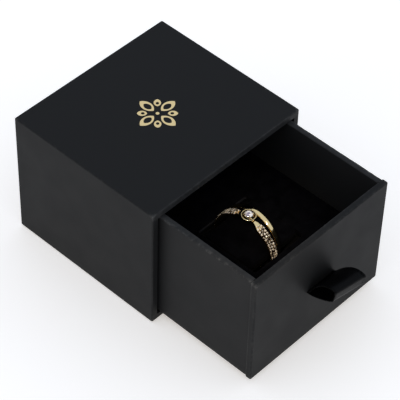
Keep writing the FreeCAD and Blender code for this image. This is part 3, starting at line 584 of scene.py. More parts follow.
velvet_tongue_rings = dented(tongue_rings(TONGUE, velvet_top, velvet_top - VELVET_SKIRT, VELVET_ROLL,
                                          TONGUE_CROWN), velvet_top)
velvet_tongue = finished_piece("velvet_tongue", shell(velvet_tongue_rings, capped=False), black_velvet)
close_top(velvet_tongue.data, velvet_top)
apply_modifier(velvet_tongue, "SOLIDIFY", thickness=VELVET_THICK * MM, offset=-1.0)
fit(velvet_tongue, "tongue", "black_velvet", "tongue_velvet")

# ---------------- ribbon pull
# One strip of black polyester satin, woven with firm edges. Its ends go through the slot in the
# front and are glued up and down behind the board. Outside it makes a loose loop to pull by.

RIBBON_THICK, RIBBON_EDGE_THICK = 0.2, 0.3
SLOT_HEIGHT = 19.75
SLOT_FRONT, GLUED_BACK = -57.85, -56.05
# The two layers pass this far apart in the slot.
LAYER_GAP = 0.02
# A tail from its end to the slot: how far in front of the glued stretch, and how far up or down.
RIBBON_TAIL = ((0.0, 8.0), (0.0, 4.0), (0.0, 0.5), (0.12, 0.1), (0.5, 0.0))
# The loop's two edges, from the slot round its nose and back: how far out, and how far up.
LOOP_LEFT = (
    (0.9, 0.0), (2.9, 0.4), (5.6, 1.5), (7.3, 2.45), (8.0, 2.98), (8.35, 3.6), (8.5, 4.5), (8.66, 5.6),
    (8.7, 6.25), (8.6, 6.55), (8.3, 6.7), (7.5, 6.85), (6.4, 6.75), (4.5, 5.9), (2.2, 3.5), (0.8, 0.9))
LOOP_RIGHT = (
    (0.9, 0.0), (3.2, 0.15), (6.4, 0.95), (8.5, 1.9), (9.2, 2.43), (9.55, 3.05), (9.72, 4.0), (9.88, 5.1),
    (9.95, 5.8), (9.85, 6.1), (9.5, 6.25), (8.7, 6.42), (7.6, 6.35), (5.6, 5.6), (3.0, 3.4), (0.9, 0.8))
RIBBON_COLUMNS, RIBBON_STATIONS = 14, 110
PATH_STEPS = 12
SATIN_DARK, SATIN_LIGHT = "#020202", "#050506"
# Satin has about ten threads a millimetre. Threads, picks and knots are drawn coarser, to show.
SATIN_THREAD_MM, SATIN_PICK_MM, SELVEDGE_KNOT_MM = 0.24, 0.35, 0.55
SELVEDGE_MM, SELVEDGE_FADE_MM = 0.8, 0.1
# A wave texture's scale of this much gives one band to each unit of length.
WAVE_TO_BANDS = 0.314

ribbon_left, ribbon_right = [corner[0] for corner in cad_box("ribbon_loop")]
ribbon_middle, ribbon_width = (ribbon_left + ribbon_right) / 2, ribbon_right - ribbon_left


def satin():
    """Polyester satin, woven: black, a gleam across its bends, and a knotted selvedge each side."""
    material, tree, _ = new_material("black_satin_woven")
    along = add_node(tree, "Attribute", {}, attribute_name="weave").outputs["Vector"]
    threads = add_node(tree, "TexWave", {
        "Vector": along, "Scale": WAVE_TO_BANDS / SATIN_THREAD_MM, "Distortion": 0.3, "Detail": 1.0},
        wave_type="BANDS", bands_direction="X").outputs["Fac"]
    picks = add_node(tree, "TexNoise", {
        "Vector": along, "Scale": 1 / SATIN_PICK_MM, "Detail": 2.0})
    knots = add_node(tree, "TexNoise", {
        "Vector": along, "Scale": 1 / SELVEDGE_KNOT_MM, "Detail": 1.0})
    across = add_node(tree, "SeparateXYZ", [along])
    offset = add_node(tree, "Math", [across, ribbon_middle], operation="SUBTRACT")
    from_middle = add_node(tree, "Math", [offset], operation="ABSOLUTE")
    inner_edge = ribbon_width / 2 - SELVEDGE_MM
    selvedge = add_node(tree, "MapRange", [from_middle, inner_edge, inner_edge + SELVEDGE_FADE_MM])
    knot = add_node(tree, "MapRange", [knots, 0.42, 0.58])
    sheen = add_node(tree, "MapRange", [picks, 0.3, 0.7, 0.4, 0.54])
    knotted = add_node(tree, "Math", [selvedge, knot], operation="MULTIPLY")
    gleam = add_node(tree, "MapRange", [knotted, 0.0, 1.0, 0.09, 0.03])
    weave = add_node(tree, "Math", [threads, picks], operation="ADD")
    height = add_node(tree, "Math", [knotted, 3.0, weave], operation="MULTIPLY_ADD")
    colour = add_node(tree, "Mix", {
        SHARE: threads, FIRST: linear(SATIN_DARK), SECOND: linear(SATIN_LIGHT)}, data_type="RGBA")
    bump = add_node(tree, "Bump", {"Height": height, "Strength": 0.35, "Distance": 0.04 * MM})
    return finished_material(material, tree, {
        "Base Color": colour, "Roughness": sheen, "Specular IOR Level": gleam, "Anisotropic": 0.4,
        "Normal": bump})


def smooth_path(corners, count):
    """Points spaced evenly along a smooth line through the corners, and the line's length."""
    ends = [2 * corners[0] - corners[1]] + list(corners) + [2 * corners[-1] - corners[-2]]
    fine = []
    for number in range(1, len(ends) - 2):
        before, start, end, after = ends[number - 1:number + 3]
        for step in range(PATH_STEPS):
            t = step / PATH_STEPS
            fine.append(0.5 * (2 * start + (end - before) * t
                               + (2 * before - 5 * start + 4 * end - after) * t ** 2
                               + (3 * start - before - 3 * end + after) * t ** 3))
    fine.append(corners[-1].copy())
    lengths = [0.0]
    for start, end in zip(fine, fine[1:]):
        lengths.append(lengths[-1] + (end - start).length)
    points, at = [], 0
    for step in range(count):
        goal = lengths[-1] * step / (count - 1)
        while at < len(fine) - 2 and lengths[at + 1] < goal:
            at += 1
        share = (goal - lengths[at]) / max(lengths[at + 1] - lengths[at], 1e-9)
        points.append(fine[at].lerp(fine[at + 1], min(share, 1.0)))
    return points, lengths[-1]


def ribbon_path(share):
    """The strip's middle line at a share of its width: tail, slot, loop, slot and tail."""
    apart = (RIBBON_THICK + LAYER_GAP) / 2
    low, high = SLOT_HEIGHT - apart, SLOT_HEIGHT + apart
    lower, upper = [[(GLUED_BACK - out, level + side * along) for out, along in RIBBON_TAIL]
                    + [(SLOT_FRONT, level)] for level, side in ((low, -1), (high, 1))]
    loop = []
    for (left_out, left_up), (right_out, right_up) in zip(LOOP_LEFT, LOOP_RIGHT):
        out = left_out + (right_out - left_out) * share
        up = left_up + (right_up - left_up) * share
        loop.append((SLOT_FRONT - out, SLOT_HEIGHT + up))
    loop[0] = (loop[0][0], low)
    return smooth_path([Vector((0, y, z)) for y, z in lower + loop + upper[::-1]], RIBBON_STATIONS)


def ribbon_strip():
    """The strip, with its thicker woven edges and its weave coordinates in millimetres."""
    shares = [column / RIBBON_COLUMNS for column in range(RIBBON_COLUMNS + 1)]
    paths = [ribbon_path(share) for share in shares]
    length = sum(along for points, along in paths) / len(paths)
    rings, weave = [], []
    for station in range(RIBBON_STATIONS):
        upper, lower, places = [], [], []
        for share, (points, along) in zip(shares, paths):
            tangent = points[min(station + 1, RIBBON_STATIONS - 1)] - points[max(station - 1, 0)]
            normal = Vector((0, -tangent.z, tangent.y)).normalized()
            edge = max(0.0, 1 - min(share, 1 - share) * RIBBON_COLUMNS)
            half = (RIBBON_THICK + (RIBBON_EDGE_THICK - RIBBON_THICK) * edge) / 2
            middle = points[station].copy()
            middle.x = ribbon_left + ribbon_width * share
            upper.append(middle + normal * half)
            lower.append(middle - normal * half)
            places.append((middle.x, length * station / (RIBBON_STATIONS - 1), 0.0))
        rings.append(upper + lower[::-1])
        weave += places + places[::-1]
    piece = finished_piece("ribbon_pull", shell(rings), satin(), sharp_degrees=60)
    layer = piece.data.attributes.new("weave", "FLOAT_VECTOR", "POINT")
    for item, place in zip(layer.data, weave):
        item.vector = place
    return piece, length


ribbon, ribbon_length = ribbon_strip()
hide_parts("ribbon_loop", "ribbon_tails")
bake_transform(ribbon)

# ---------------- stone-set band
# A gold band, cast and polished, that narrows to a neck under the collar. Past the neck its top is
# cut down a little for the small stones, and there the gold is painted dark as painted shade.

# The ring's own frame has its axis along X and its centre stone on top. It leans and turns a little.
RING_MIDDLE = (-1.55, -33.875, 18.0)
RING_LEAN_DEGREES, RING_YAW_DEGREES = 2.7, 2.5
BAND_OUTER, BAND_INNER = 9.85, 8.5
STONE_BAND_WIDTH = 2.3
BAND_STATIONS = 120
# The band's two edges: degrees from the top, and place along the ring's axis.
BAND_LEFT_EDGE = (
    (13, -0.45), (19, -0.8), (24, -1.2), (30, -1.42), (36, -1.3), (45, -1.18), (180, -1.15))
BAND_RIGHT_EDGE = (
    (13, 0.45), (20, 0.85), (26, 1.05), (50, 1.15), (62, 1.3), (80, 1.3), (94, 1.15), (180, 1.15))
# Half of the band's section, from its bore to its top: how far in from its side, and how far from
# the bore or below the top. The last share says how much of the cut for the stones is taken off.
BORE_EDGE = ((0.25, 0.0), (0.06, 0.08), (0.0, 0.3))
TOP_EDGE = ((0.0, 0.3, 0.0), (0.03, 0.14, 0.0), (0.08, 0.06, 0.3), (0.16, 0.0, 1.0))
# The cut starts and ends over these degrees from the top. Inside it, painted shade darkens the gold under the
# stones.
SEAT_CUT, SEAT_CUT_START, SEAT_CUT_END = 0.22, (15, 19), (104, 108)
SEATS_FIRST, SEATS_LAST, SEATS_HIGH, SEATS_LOW = 26, 104, 0.1, 0.3
# The two dark golds are painted shade for the recesses under the stones and in the collar's bore.
GOLD_COLOUR, PAINTED_SHADE_DARK, PAINTED_SHADE_LIGHT = "#F5DCA4", "#1C130B", "#5C4425"
# Polishing marks are a few hundredths of a millimetre wide. They are drawn coarser, to show.
GOLD_MARK_MM = 0.35


def gold():
    """Yellow gold, cast and polished: mirror-bright and pale, with fine polishing marks."""
    material, tree, place = new_material("gold_cast_polished")
    marks = add_node(tree, "TexNoise", {
        "Vector": place, "Scale": 1 / (GOLD_MARK_MM * MM), "Detail": 5.0, "Roughness": 0.7})
    roughness = add_node(tree, "MapRange", [marks, 0.3, 0.7, 0.05, 0.13])
    bump = add_node(tree, "Bump", {"Height": marks, "Strength": 0.12, "Distance": 0.02 * MM})
    return finished_material(material, tree, {
        "Base Color": linear(GOLD_COLOUR), "Metallic": 1.0, "Roughness": roughness, "Normal": bump})


def seat_on_ring(piece):
    """Carry a mesh from the ring's own frame to its place."""
    yaw = Matrix.Rotation(math.radians(RING_YAW_DEGREES), 4, "Z")
    lean = Matrix.Rotation(math.radians(RING_LEAN_DEGREES), 4, "X")
    piece.data.transform(Matrix.Translation(Vector(RING_MIDDLE) * MM) @ yaw @ lean)
    return piece


def on_band(x, radius, angle):
    """A point at a radius and an angle from the top, in the ring's own frame."""
    return Vector((x, -radius * math.sin(angle), radius * math.cos(angle)))


def eased(value, low, high):
    """A smooth step from 0 at low to 1 at high."""
    share = min(max((value - low) / (high - low), 0.0), 1.0)
    return share * share * (3 - 2 * share)


def degrees_from_top(angle):
    """How many degrees an angle lies from the ring's top, on either side."""
    return abs(math.degrees((angle + math.pi) % (2 * math.pi) - math.pi))


def between(value, table):
    """A value read off a table of places and values, straight between its lines."""
    for (low, first), (high, second) in zip(table, table[1:]):
        if value <= high:
            return first + (second - first) * max(value - low, 0.0) / (high - low)
    return table[-1][1]


def stone_band_edges(angle):
    """Left and right edge of the stone-set band at an angle from the top."""
    return [between(degrees_from_top(angle), edge) for edge in (BAND_LEFT_EDGE, BAND_RIGHT_EDGE)]


def paint_shade_on(piece, in_painted_shade):
    """Give painted shade, a dark gold, to those faces whose middle, in millimetres, lies in a shaded place.
    """
    piece.data.materials.append(painted_shade_gold)
    for face in piece.data.polygons:
        if in_painted_shade(*(face.center / MM)):
            face.material_index = 1
    return piece


def under_stones(x, y, z):
    """Whether a point lies on the stretch of the band under the stones, which gets painted shade."""
    along = SEATS_FIRST < degrees_from_top(math.atan2(-y, z)) < SEATS_LAST
    return along and BAND_OUTER - SEATS_LOW < math.hypot(y, z) < BAND_OUTER - SEATS_HIGH


def stone_band():
    """Flat sides, rounded edges, and a hollowed top where the stones go."""
    rings = []
    for station in range(BAND_STATIONS):
        angle = 2 * math.pi * station / BAND_STATIONS
        left, right = stone_band_edges(angle)
        steep = degrees_from_top(angle)
        hollow = SEAT_CUT * eased(steep, *SEAT_CUT_START) * (1 - eased(steep, *SEAT_CUT_END))
        half = [(into, BAND_INNER + rise) for into, rise in BORE_EDGE]
        half += [(into, BAND_OUTER - below - hollow * share) for into, below, share in TOP_EDGE]
        section = [(left + into, radius) for into, radius in half]
        section.append(((left + right) / 2, BAND_OUTER - hollow))
        section += [(right - into, radius) for into, radius in reversed(half)]
        rings.append([on_band(x, radius, angle) for x, radius in section])
    return finished_piece("stone_set_band", shell(rings, joined=True), polished_gold, sharp_degrees=40)


polished_gold = gold()
# Yellow gold painted dark and rough as painted shade, under the stones and in the collar's bore: it makes
# each stone stand out.
painted_shade_gold = flecked("gold_painted_shade_in_seats", "TexNoise", GOLD_MARK_MM, {"Detail": 3.0}, PAINTED_SHADE_DARK,
                    PAINTED_SHADE_LIGHT, {"Strength": 0.0}, {"Metallic": 1.0, "Roughness": 0.6})
fit(seat_on_ring(paint_shade_on(stone_band(), under_stones)), "ring", "gold", "ring_stone_band")

# ---------------- small stones
# Three staggered rows of small brilliants, pushed into the drilled seats. Between them a graver has
# raised beads from the gold, which hold the stones. Set by hand, no two stones lie quite level.

PAVE_FIRST_DEGREES, PAVE_LAST_DEGREES = 20.0, 104.0
SMALL_STONE_RADIUS, SMALL_STONE_CROWN, SMALL_STONE_PAVILION = 0.33, 0.15, 0.3
SMALL_STONE_PITCH, SMALL_STONE_ROWS, SMALL_STONE_SIDES = 0.84, 3, 6
SMALL_STONE_SINK, BEAD_SINK = 0.1, 0.03
PAVE_TILT_DEGREES, PAVE_SEED = 14, 5
BEAD_RADIUS, BEAD_SIDES, BEAD_TOP, BEAD_SEED = 0.09, 6, 0.13, 1
# A bead from its foot: share of its radius, height, and turn as a share of a side.
BEAD_RINGS = ((0.95, -0.1, 0.0), (1.0, 0.0, 0.5), (0.7, 0.09, 0.0))
FACET_DEGREES, STONE_SHARP_DEGREES = 2, 20
# Colours of painted glints and painted dark reflections on the small stones' facets.
PAVE_GLINT_COLOUR, PAVE_DARK_REFLECTION_COLOUR = "#FFF1DA", "#2A1F18"
PAVE_FACET_MM, PAVE_DARK_REFLECTION_SHARE = 0.42, 0.33
# Share of the light that a stone's lower facets turn back, as a mirror would.
STONE_RETURN = 0.45
# A round brilliant's rings of corners, as shares of its radius, crown and pavilion.
TABLE_SHARE, STAR_SHARE, STAR_HEIGHT = 0.56, 0.8, 0.55
CULET_SHARE, CULET_DEPTH, GIRDLE_HALF = 0.22, 0.82, 0.03


def white_stone(name, facet_mm, colour_lit, colour_dark, dark_share):
    """Cubic zirconia, cut and polished, with painted glints: white facets beside dark ones, painted in as the
    reflections that its facets would show.
    """
    material, tree, place = new_material(name)
    facet = add_node(tree, "TexVoronoi", {
        "Vector": place, "Scale": 1 / (facet_mm * MM)}, feature="F1")
    red, green, _ = add_node(tree, "SeparateColor", [facet.outputs["Color"]]).outputs
    # Painted glints: some facet cells are painted white as glints, the rest dark as dark reflections.
    painted_glint = add_node(tree, "MapRange", [red, dark_share - 0.1, dark_share + 0.15],
                     interpolation_type="SMOOTHSTEP")
    roughness = add_node(tree, "MapRange", [green, 0.0, 1.0, 0.04, 0.12])
    colour = add_node(tree, "Mix", {
        SHARE: painted_glint, FIRST: linear(colour_dark), SECOND: linear(colour_lit)}, data_type="RGBA")
    return finished_material(material, tree, {
        "Base Color": colour, "Roughness": roughness, "Metallic": STONE_RETURN})


def seating_tree():
    """Node tree that sets a shape on each seat, turned as the seat says and tilted a little."""
    tree = bpy.data.node_groups.new("seating", "GeometryNodeTree")
    tree.interface.new_socket(name="Seated", in_out="OUTPUT", socket_type="NodeSocketGeometry")
    for name, kind in (("Seats", "NodeSocketGeometry"), ("Shape", "NodeSocketObject"),
                       ("Finish", "NodeSocketMaterial"), ("Tilt", "NodeSocketFloat"),
                       ("Seed", "NodeSocketInt")):
        tree.interface.new_socket(name=name, in_out="INPUT", socket_type=kind)
    given = add_node(tree, "NodeGroupInput", {}).outputs
    turn = add_node(tree, "GeometryNodeInputNamedAttribute", {"Name": "turn"}, data_type="FLOAT_VECTOR")
    size = add_node(tree, "GeometryNodeInputNamedAttribute", {"Name": "size"}, data_type="FLOAT")
    chance = add_node(tree, "FunctionNodeRandomValue", {
        "Min": (-1.0, -1.0, -1.0), "Max": (1.0, 1.0, 1.0), "Seed": given["Seed"]}, data_type="FLOAT_VECTOR")
    tilt = add_node(tree, "VectorMath", {"Vector": chance, "Scale": given["Tilt"]}, operation="SCALE")
    turned = add_node(tree, "VectorMath", [turn, tilt], operation="ADD")
    shape = add_node(tree, "GeometryNodeObjectInfo", {"Object": given["Shape"]}).outputs["Geometry"]
    placed = add_node(tree, "GeometryNodeInstanceOnPoints", {
        "Points": given["Seats"], "Instance": shape, "Rotation": turned, "Scale": size})
    real = add_node(tree, "GeometryNodeRealizeInstances", {"Geometry": placed})
    dressed = add_node(tree, "GeometryNodeSetMaterial", {"Geometry": real, "Material": given["Finish"]})
    add_node(tree, "NodeGroupOutput", {"Seated": dressed})
    return tree


def seats(places, turns, sizes):
    """A mesh of points in millimetres, each with the turn and the size of what sits there."""
    mesh = bpy.data.meshes.new("seats")
    mesh.from_pydata([place * MM for place in places], [], [])
    mesh.attributes.new("turn", "FLOAT_VECTOR", "POINT").data.foreach_set("vector", turns)
    mesh.attributes.new("size", "FLOAT", "POINT").data.foreach_set("value", sizes)
    return mesh


def seated(name, on_seats, sharp_degrees, **values):
    """The plain mesh that the seating tree makes on a mesh of seats, from its named inputs."""
    holder = bpy.data.objects.new(name, on_seats)
    bpy.context.scene.collection.objects.link(holder)
    grow = holder.modifiers.new(name, "NODES")
    grow.node_group = seating
    sockets = {item.name: item.identifier for item in seating.interface.items_tree
               if item.in_out == "INPUT"}
    for key, value in values.items():
        grow[sockets[key]] = value
    view = bpy.context.evaluated_depsgraph_get()
    made = bpy.data.meshes.new_from_object(holder.evaluated_get(view))
    bpy.data.objects.remove(holder)
    return seat_on_ring(finished_piece(name, made, values["Finish"], sharp_degrees))


def cut_shape(name, points):
    """A closed faceted mesh round some points in millimetres."""
    shape = bmesh.new()
    for point in points:
        shape.verts.new(Vector(point) * MM)
    bmesh.ops.convex_hull(shape, input=shape.verts)
    bmesh.ops.dissolve_limit(shape, angle_limit=math.radians(FACET_DEGREES), verts=shape.verts,
                             edges=shape.edges)
    mesh = bpy.data.meshes.new(name)
    shape.to_mesh(mesh)
    shape.free()
    return mesh


def circle(radius, height, sides, turn=0.0):
    """Points round a circle, turned by a share of a side."""
    angles = [2 * math.pi * (number + turn) / sides for number in range(sides)]
    return [(radius * math.cos(angle), radius * math.sin(angle), height) for angle in angles]


def round_cut(radius, crown, pavilion, sides):
    """Points of a round brilliant with its girdle at height 0: table, crown, girdle and pavilion."""
    return (circle(TABLE_SHARE * radius, crown, sides)
            + circle(STAR_SHARE * radius, STAR_HEIGHT * crown, sides, 0.5)
            + circle(radius, GIRDLE_HALF, 2 * sides) + circle(radius, -GIRDLE_HALF, 2 * sides)
            + circle(CULET_SHARE * radius, -CULET_DEPTH * pavilion, sides, 0.5) + [(0, 0, -pavilion)])


def pave_seats(rows, radius, shift):
    """Seats in staggered rows between the band's edges, along its front and its back."""
    places, turns, sizes = [], [], []
    first = math.radians(PAVE_FIRST_DEGREES)
    step = SMALL_STONE_PITCH / SMALL_STONE_ROWS / BAND_OUTER
    for side in (1, -1):
        for number in range(int(math.radians(PAVE_LAST_DEGREES - PAVE_FIRST_DEGREES) / step)):
            angle = side * (first + (number + shift) * step)
            left, right = stone_band_edges(angle)
            across = left + (right - left) * (number % rows + 0.5) / rows
            places.append(on_band(across, radius, angle))
            turns += [angle, 0.0, 0.0]
            sizes.append((right - left) / STONE_BAND_WIDTH)
    return seats(places, turns, sizes)


seating = seating_tree()
small_cut = cut_shape("small_stone", round_cut(SMALL_STONE_RADIUS, SMALL_STONE_CROWN, SMALL_STONE_PAVILION,
                                               SMALL_STONE_SIDES))
pave_stone = white_stone("cubic_zirconia_pave_painted_glints", PAVE_FACET_MM, PAVE_GLINT_COLOUR, PAVE_DARK_REFLECTION_COLOUR,
                         PAVE_DARK_REFLECTION_SHARE)
stone_seats = pave_seats(SMALL_STONE_ROWS, BAND_OUTER - SMALL_STONE_SINK, shift=0)
small_stones = seated("small_stones", stone_seats, STONE_SHARP_DEGREES,
                      Shape=bpy.data.objects.new("small_stone", small_cut), Finish=pave_stone,
                      Tilt=math.radians(PAVE_TILT_DEGREES), Seed=PAVE_SEED)
fit(small_stones, "ring", "clear_stone", "ring_small_stones")

bead_points = [point for share, height, turn in BEAD_RINGS
               for point in circle(BEAD_RADIUS * share, height, BEAD_SIDES, turn)]
bead = cut_shape("bead", bead_points + [(0, 0, BEAD_TOP)])
bead_seats = pave_seats(SMALL_STONE_ROWS + 1, BAND_OUTER - BEAD_SINK, shift=0.5)
beads = seated("stone_beads", bead_seats, STONE_SHARP_DEGREES, Shape=bpy.data.objects.new("bead", bead),
               Finish=polished_gold, Tilt=0.0, Seed=BEAD_SEED)
fit(beads, "ring", "gold")

# ---------------- plain band
# An oval gold wire, bent round beside the other band, soldered to it below, and bowed away from it
# towards the top, where it passes the collar.

PLAIN_WIDTH, PLAIN_THICK = 1.65, 1.24
PLAIN_PARTING, SOLDER_GAP = 1.08, 0.02
WIRE_SIDES = 20


def plain_band():
    """Oval wire swept round the ring, with its parting at the top."""
    rings = []
    beside = STONE_BAND_WIDTH / 2 + PLAIN_WIDTH / 2 + SOLDER_GAP
    for station in range(BAND_STATIONS):
        angle = 2 * math.pi * station / BAND_STATIONS
        middle = beside + PLAIN_PARTING * ((1 + math.cos(angle)) / 2) ** 2
        rings.append([on_band(middle + PLAIN_WIDTH / 2 * across,
                              BAND_OUTER - PLAIN_THICK / 2 + PLAIN_THICK / 2 * out, angle)
                      for across, out, _ in circle(1.0, 0.0, WIRE_SIDES)])
    return finished_piece("plain_band", shell(rings, joined=True), polished_gold, sharp_degrees=80)


fit(seat_on_ring(plain_band()), "ring", "gold", "ring_plain_band")

# ---------------- collar and claws
# A short gold tube with a thin polished rim, saddled onto both bands and soldered. Four claws stand
# on its floor plate and are bent over the girdle of the centre stone.

COLLAR_OUTER, COLLAR_INNER, COLLAR_HOLE = 2.05, 1.75, 1.4
COLLAR_TOP, COLLAR_FLOOR, COLLAR_FOOT_GAP = 10.75, 10.15, 0.02
COLLAR_STATIONS = 64
# The collar's section. Its two ends, with no height of their own, stand on the bands.
COLLAR_SECTION = (
    (COLLAR_OUTER, None), (COLLAR_OUTER, COLLAR_TOP - 0.16), (COLLAR_OUTER - 0.03, COLLAR_TOP - 0.05),
    (COLLAR_OUTER - 0.1, COLLAR_TOP), (COLLAR_INNER + 0.1, COLLAR_TOP),
    (COLLAR_INNER + 0.03, COLLAR_TOP - 0.05), (COLLAR_INNER, COLLAR_TOP - 0.16),
    (COLLAR_INNER - 0.04, COLLAR_FLOOR + 0.06), (COLLAR_INNER - 0.12, COLLAR_FLOOR),
    (COLLAR_HOLE + 0.05, COLLAR_FLOOR), (COLLAR_HOLE, COLLAR_FLOOR - 0.05), (COLLAR_HOLE, None))
CENTRE_RADIUS, CENTRE_CROWN, CENTRE_PAVILION = 1.15, 0.4, 0.95
CLAW_COUNT, CLAW_FOOT, CLAW_SIDES, CLAW_GAP, CLAW_SHARP_DEGREES = 4, 0.2, 10, 0.02, 60
# A claw from foot to tip: how far up, how far in, and how thick as a share of its foot.
CLAW_BEND = ((0.0, 0.0, 1.0), (0.35, 0.0, 0.95), (0.7, 0.0, 0.9), (0.95, 0.02, 0.88),
             (1.1, 0.08, 0.86), (1.2, 0.15, 0.75), (1.25, 0.2, 0.45))


def in_collar(x, y, z):
    """Whether a point lies inside the collar's bore."""
    return math.hypot(x, y) < COLLAR_INNER - ON_SURFACE


def collar():
    """Tube with a rounded rim and a floor plate, its foot cut to the bands' curve."""
    rings = []
    for across, along, _ in circle(1.0, 0.0, COLLAR_STATIONS):
        section = []
        for radius, height in COLLAR_SECTION:
            if height is None:
                height = math.sqrt((BAND_OUTER + COLLAR_FOOT_GAP) ** 2 - (radius * along) ** 2)
            section.append((radius * across, radius * along, height))
        rings.append(section)
    return finished_piece("collar", shell(rings, joined=True), polished_gold)


def claw():
    """A tapered wire, bent in over the stone and ending in a round tip."""
    rings = []
    for lift, inward, thick in CLAW_BEND:
        out = CENTRE_RADIUS + CLAW_FOOT - inward
        rings.append([(out + x, y, z) for x, y, z in
                      circle(CLAW_FOOT * thick, COLLAR_FLOOR + CLAW_GAP + lift, CLAW_SIDES)])
    return bpy.data.objects.new("claw", shell(rings))


# The collar's bore gets painted shade.
fit(seat_on_ring(paint_shade_on(collar(), in_collar)), "ring", "gold", "ring_collar")

claw_turns = []
for number in range(CLAW_COUNT):
    claw_turns += [0.0, 0.0, 2 * math.pi * (number + 0.5) / CLAW_COUNT]
claw_seats = seats([Vector()] * CLAW_COUNT, claw_turns, [1.0] * CLAW_COUNT)
claws = seated("claws", claw_seats, CLAW_SHARP_DEGREES, Shape=claw(), Finish=polished_gold, Tilt=0.0,
               Seed=0)
fit(claws, "ring", "gold", "ring_claws")

# ---------------- centre stone
# A round brilliant of clear cubic zirconia with a wide table, ground and polished. The claws grip
# its girdle, between its crown and its pavilion, and lift it clear of the collar.

CENTRE_GIRDLE, CENTRE_SIDES = 11.1, 8
# Colours of painted glints and painted dark reflections on the centre stone's facets.
CENTRE_GLINT_COLOUR, CENTRE_DARK_REFLECTION_COLOUR = "#FFFAF2", "#8C8296"
CENTRE_FACET_MM, CENTRE_DARK_REFLECTION_SHARE = 0.6, 0.2


def centre_stone():
    """Round brilliant: table, star, kite and girdle facets above, long facets below."""
    mesh = cut_shape("centre_stone", round_cut(CENTRE_RADIUS, CENTRE_CROWN, CENTRE_PAVILION, CENTRE_SIDES))
    mesh.transform(Matrix.Translation((0, 0, CENTRE_GIRDLE * MM)))
    clear_stone = white_stone("cubic_zirconia_brilliant_painted_glints", CENTRE_FACET_MM, CENTRE_GLINT_COLOUR,
                              CENTRE_DARK_REFLECTION_COLOUR, CENTRE_DARK_REFLECTION_SHARE)
    return finished_piece("centre_stone", mesh, clear_stone, sharp_degrees=3)


fit(seat_on_ring(centre_stone()), "ring", "clear_stone", "ring_centre_stone")

# ---------------- table, light and camera
# The box stands on a table top of pale coated board. Two soft boxes stand low, at its left and its
# front, a pin spot picks out the ring, and a pale sky fills the shadows.

TABLE_COLOUR, TABLE_GLOW = "#F4F4F4", "#FFF7EC"
TABLE_GRAIN_MM = 2.0
TABLE_HALF, TABLE_DROP = 3.0, 0.05 * MM
SOFT_BOX = {"shape": "RECTANGLE", "size": 0.9, "size_y": 0.5}
SOFT_BOX_COLOUR = "#FFEFDC"
SOFT_BOX_AIM = (0.0, -0.015, 0.015)
LEFT_PLACE, LEFT_WATTS = (-1.0, 0.05, 0.4), 0.7
FRONT_PLACE, FRONT_WATTS = (0.55, -1.0, 0.2), 0.25
PIN_SPOT = {"spot_size": math.radians(2.7), "spot_blend": 0.8, "shadow_soft_size": 0.012}
PIN_SPOT_COLOUR = "#FFE9CC"
PIN_SPOT_AIM = (0.0, -0.040, 0.025)
PIN_SPOT_PLACE, PIN_SPOT_WATTS = (-0.29, -0.24, 0.42), 13.0
SKY_COLOUR, SKY_STRENGTH = "#E6EFFD", 0.8
AZIMUTH, ELEVATION, ROLL = math.radians(-47.93), math.radians(45.93), math.radians(1.93)
CAMERA_PLACE = (-262.41, -254.03, 387.28)
FOCAL_PX, MIDDLE_X_PX, MIDDLE_Y_PX, IMAGE_PX = 1926.0, 203.6, 195.6, 400
SENSOR_MM, NEAREST = 36, 0.01


def table_board():
    """Matt white board, coated: almost even, lit so that it shows no edge."""
    material, tree, place = new_material("white_board_coated")
    grain = add_node(tree, "TexNoise", {
        "Vector": place, "Scale": 1 / (TABLE_GRAIN_MM * MM), "Detail": 2.0})
    tone = add_node(tree, "MapRange", [grain, 0.0, 1.0, 0.98, 1.0])
    colour = add_node(tree, "Mix", {
        SHARE: 1.0, FIRST: linear(TABLE_COLOUR), SECOND: tone}, data_type="RGBA", blend_type="MULTIPLY")
    return finished_material(material, tree, {
        "Base Color": colour, "Roughness": 0.9, "Specular IOR Level": 0.0,
        "Emission Color": linear(TABLE_GLOW), "Emission Strength": 0.45})


def table_top(half, drop):
    """A wide plane just under the box."""
    mesh = bpy.data.meshes.new("floor")
    corners = [(-half, -half, -drop), (half, -half, -drop), (half, half, -drop), (-half, half, -drop)]
    mesh.from_pydata(corners, [], [(0, 1, 2, 3)])
    mesh.materials.append(table_board())
    piece = bpy.data.objects.new("floor", mesh)
    bpy.context.scene.collection.objects.link(piece)


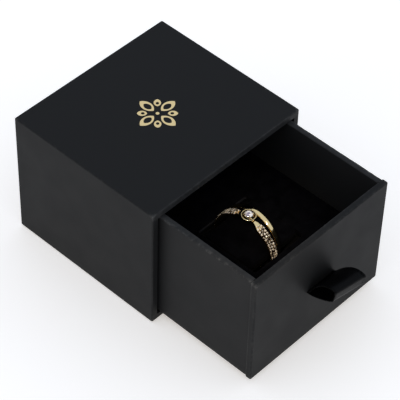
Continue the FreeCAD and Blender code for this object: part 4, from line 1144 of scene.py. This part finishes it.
def lamp(name, kind, place, aim, power, colour, build):
    """A lamp turned from its place towards a point, both in metres."""
    light = bpy.data.lights.new(name, kind)
    light.energy = power
    light.color = linear(colour)[:3]
    for key, value in build.items():
        setattr(light, key, value)
    stand = bpy.data.objects.new(name, light)
    stand.location = place
    stand.rotation_euler = (Vector(aim) - Vector(place)).to_track_quat("-Z", "Y").to_euler()
    bpy.context.scene.collection.objects.link(stand)


def camera():
    """The camera, from its heading, height above the table, roll and focal length."""
    back = Vector((math.sin(AZIMUTH) * math.cos(ELEVATION), -math.cos(AZIMUTH) * math.cos(ELEVATION),
                   math.sin(ELEVATION)))
    level_right = Vector((0, 0, 1)).cross(back).normalized()
    level_up = back.cross(level_right)
    right = level_right * math.cos(ROLL) + level_up * math.sin(ROLL)
    up = level_up * math.cos(ROLL) - level_right * math.sin(ROLL)
    lens = bpy.data.cameras.new("camera")
    lens.sensor_fit = "HORIZONTAL"
    lens.sensor_width = SENSOR_MM
    lens.lens = FOCAL_PX * SENSOR_MM / IMAGE_PX
    lens.shift_x = (IMAGE_PX / 2 - MIDDLE_X_PX) / IMAGE_PX
    lens.shift_y = (MIDDLE_Y_PX - IMAGE_PX / 2) / IMAGE_PX
    lens.clip_start = NEAREST
    stand = bpy.data.objects.new("camera", lens)
    turn = Matrix((right, up, back)).transposed().to_4x4()
    stand.matrix_world = Matrix.Translation(Vector(CAMERA_PLACE) * MM) @ turn
    bpy.context.scene.collection.objects.link(stand)
    bpy.context.scene.camera = stand


table_top(TABLE_HALF, TABLE_DROP)
lamp("left_softbox", "AREA", LEFT_PLACE, SOFT_BOX_AIM, LEFT_WATTS, SOFT_BOX_COLOUR, SOFT_BOX)
lamp("front_softbox", "AREA", FRONT_PLACE, SOFT_BOX_AIM, FRONT_WATTS, SOFT_BOX_COLOUR, SOFT_BOX)
lamp("pin_spot", "SPOT", PIN_SPOT_PLACE, PIN_SPOT_AIM, PIN_SPOT_WATTS, PIN_SPOT_COLOUR, PIN_SPOT)
world = bpy.data.worlds.new("studio")
bpy.context.scene.world = world
world.use_nodes = True
sky = world.node_tree.nodes["Background"].inputs
sky["Color"].default_value = linear(SKY_COLOUR)
sky["Strength"].default_value = SKY_STRENGTH
camera()
bpy.context.scene.view_settings.view_transform = "Standard"
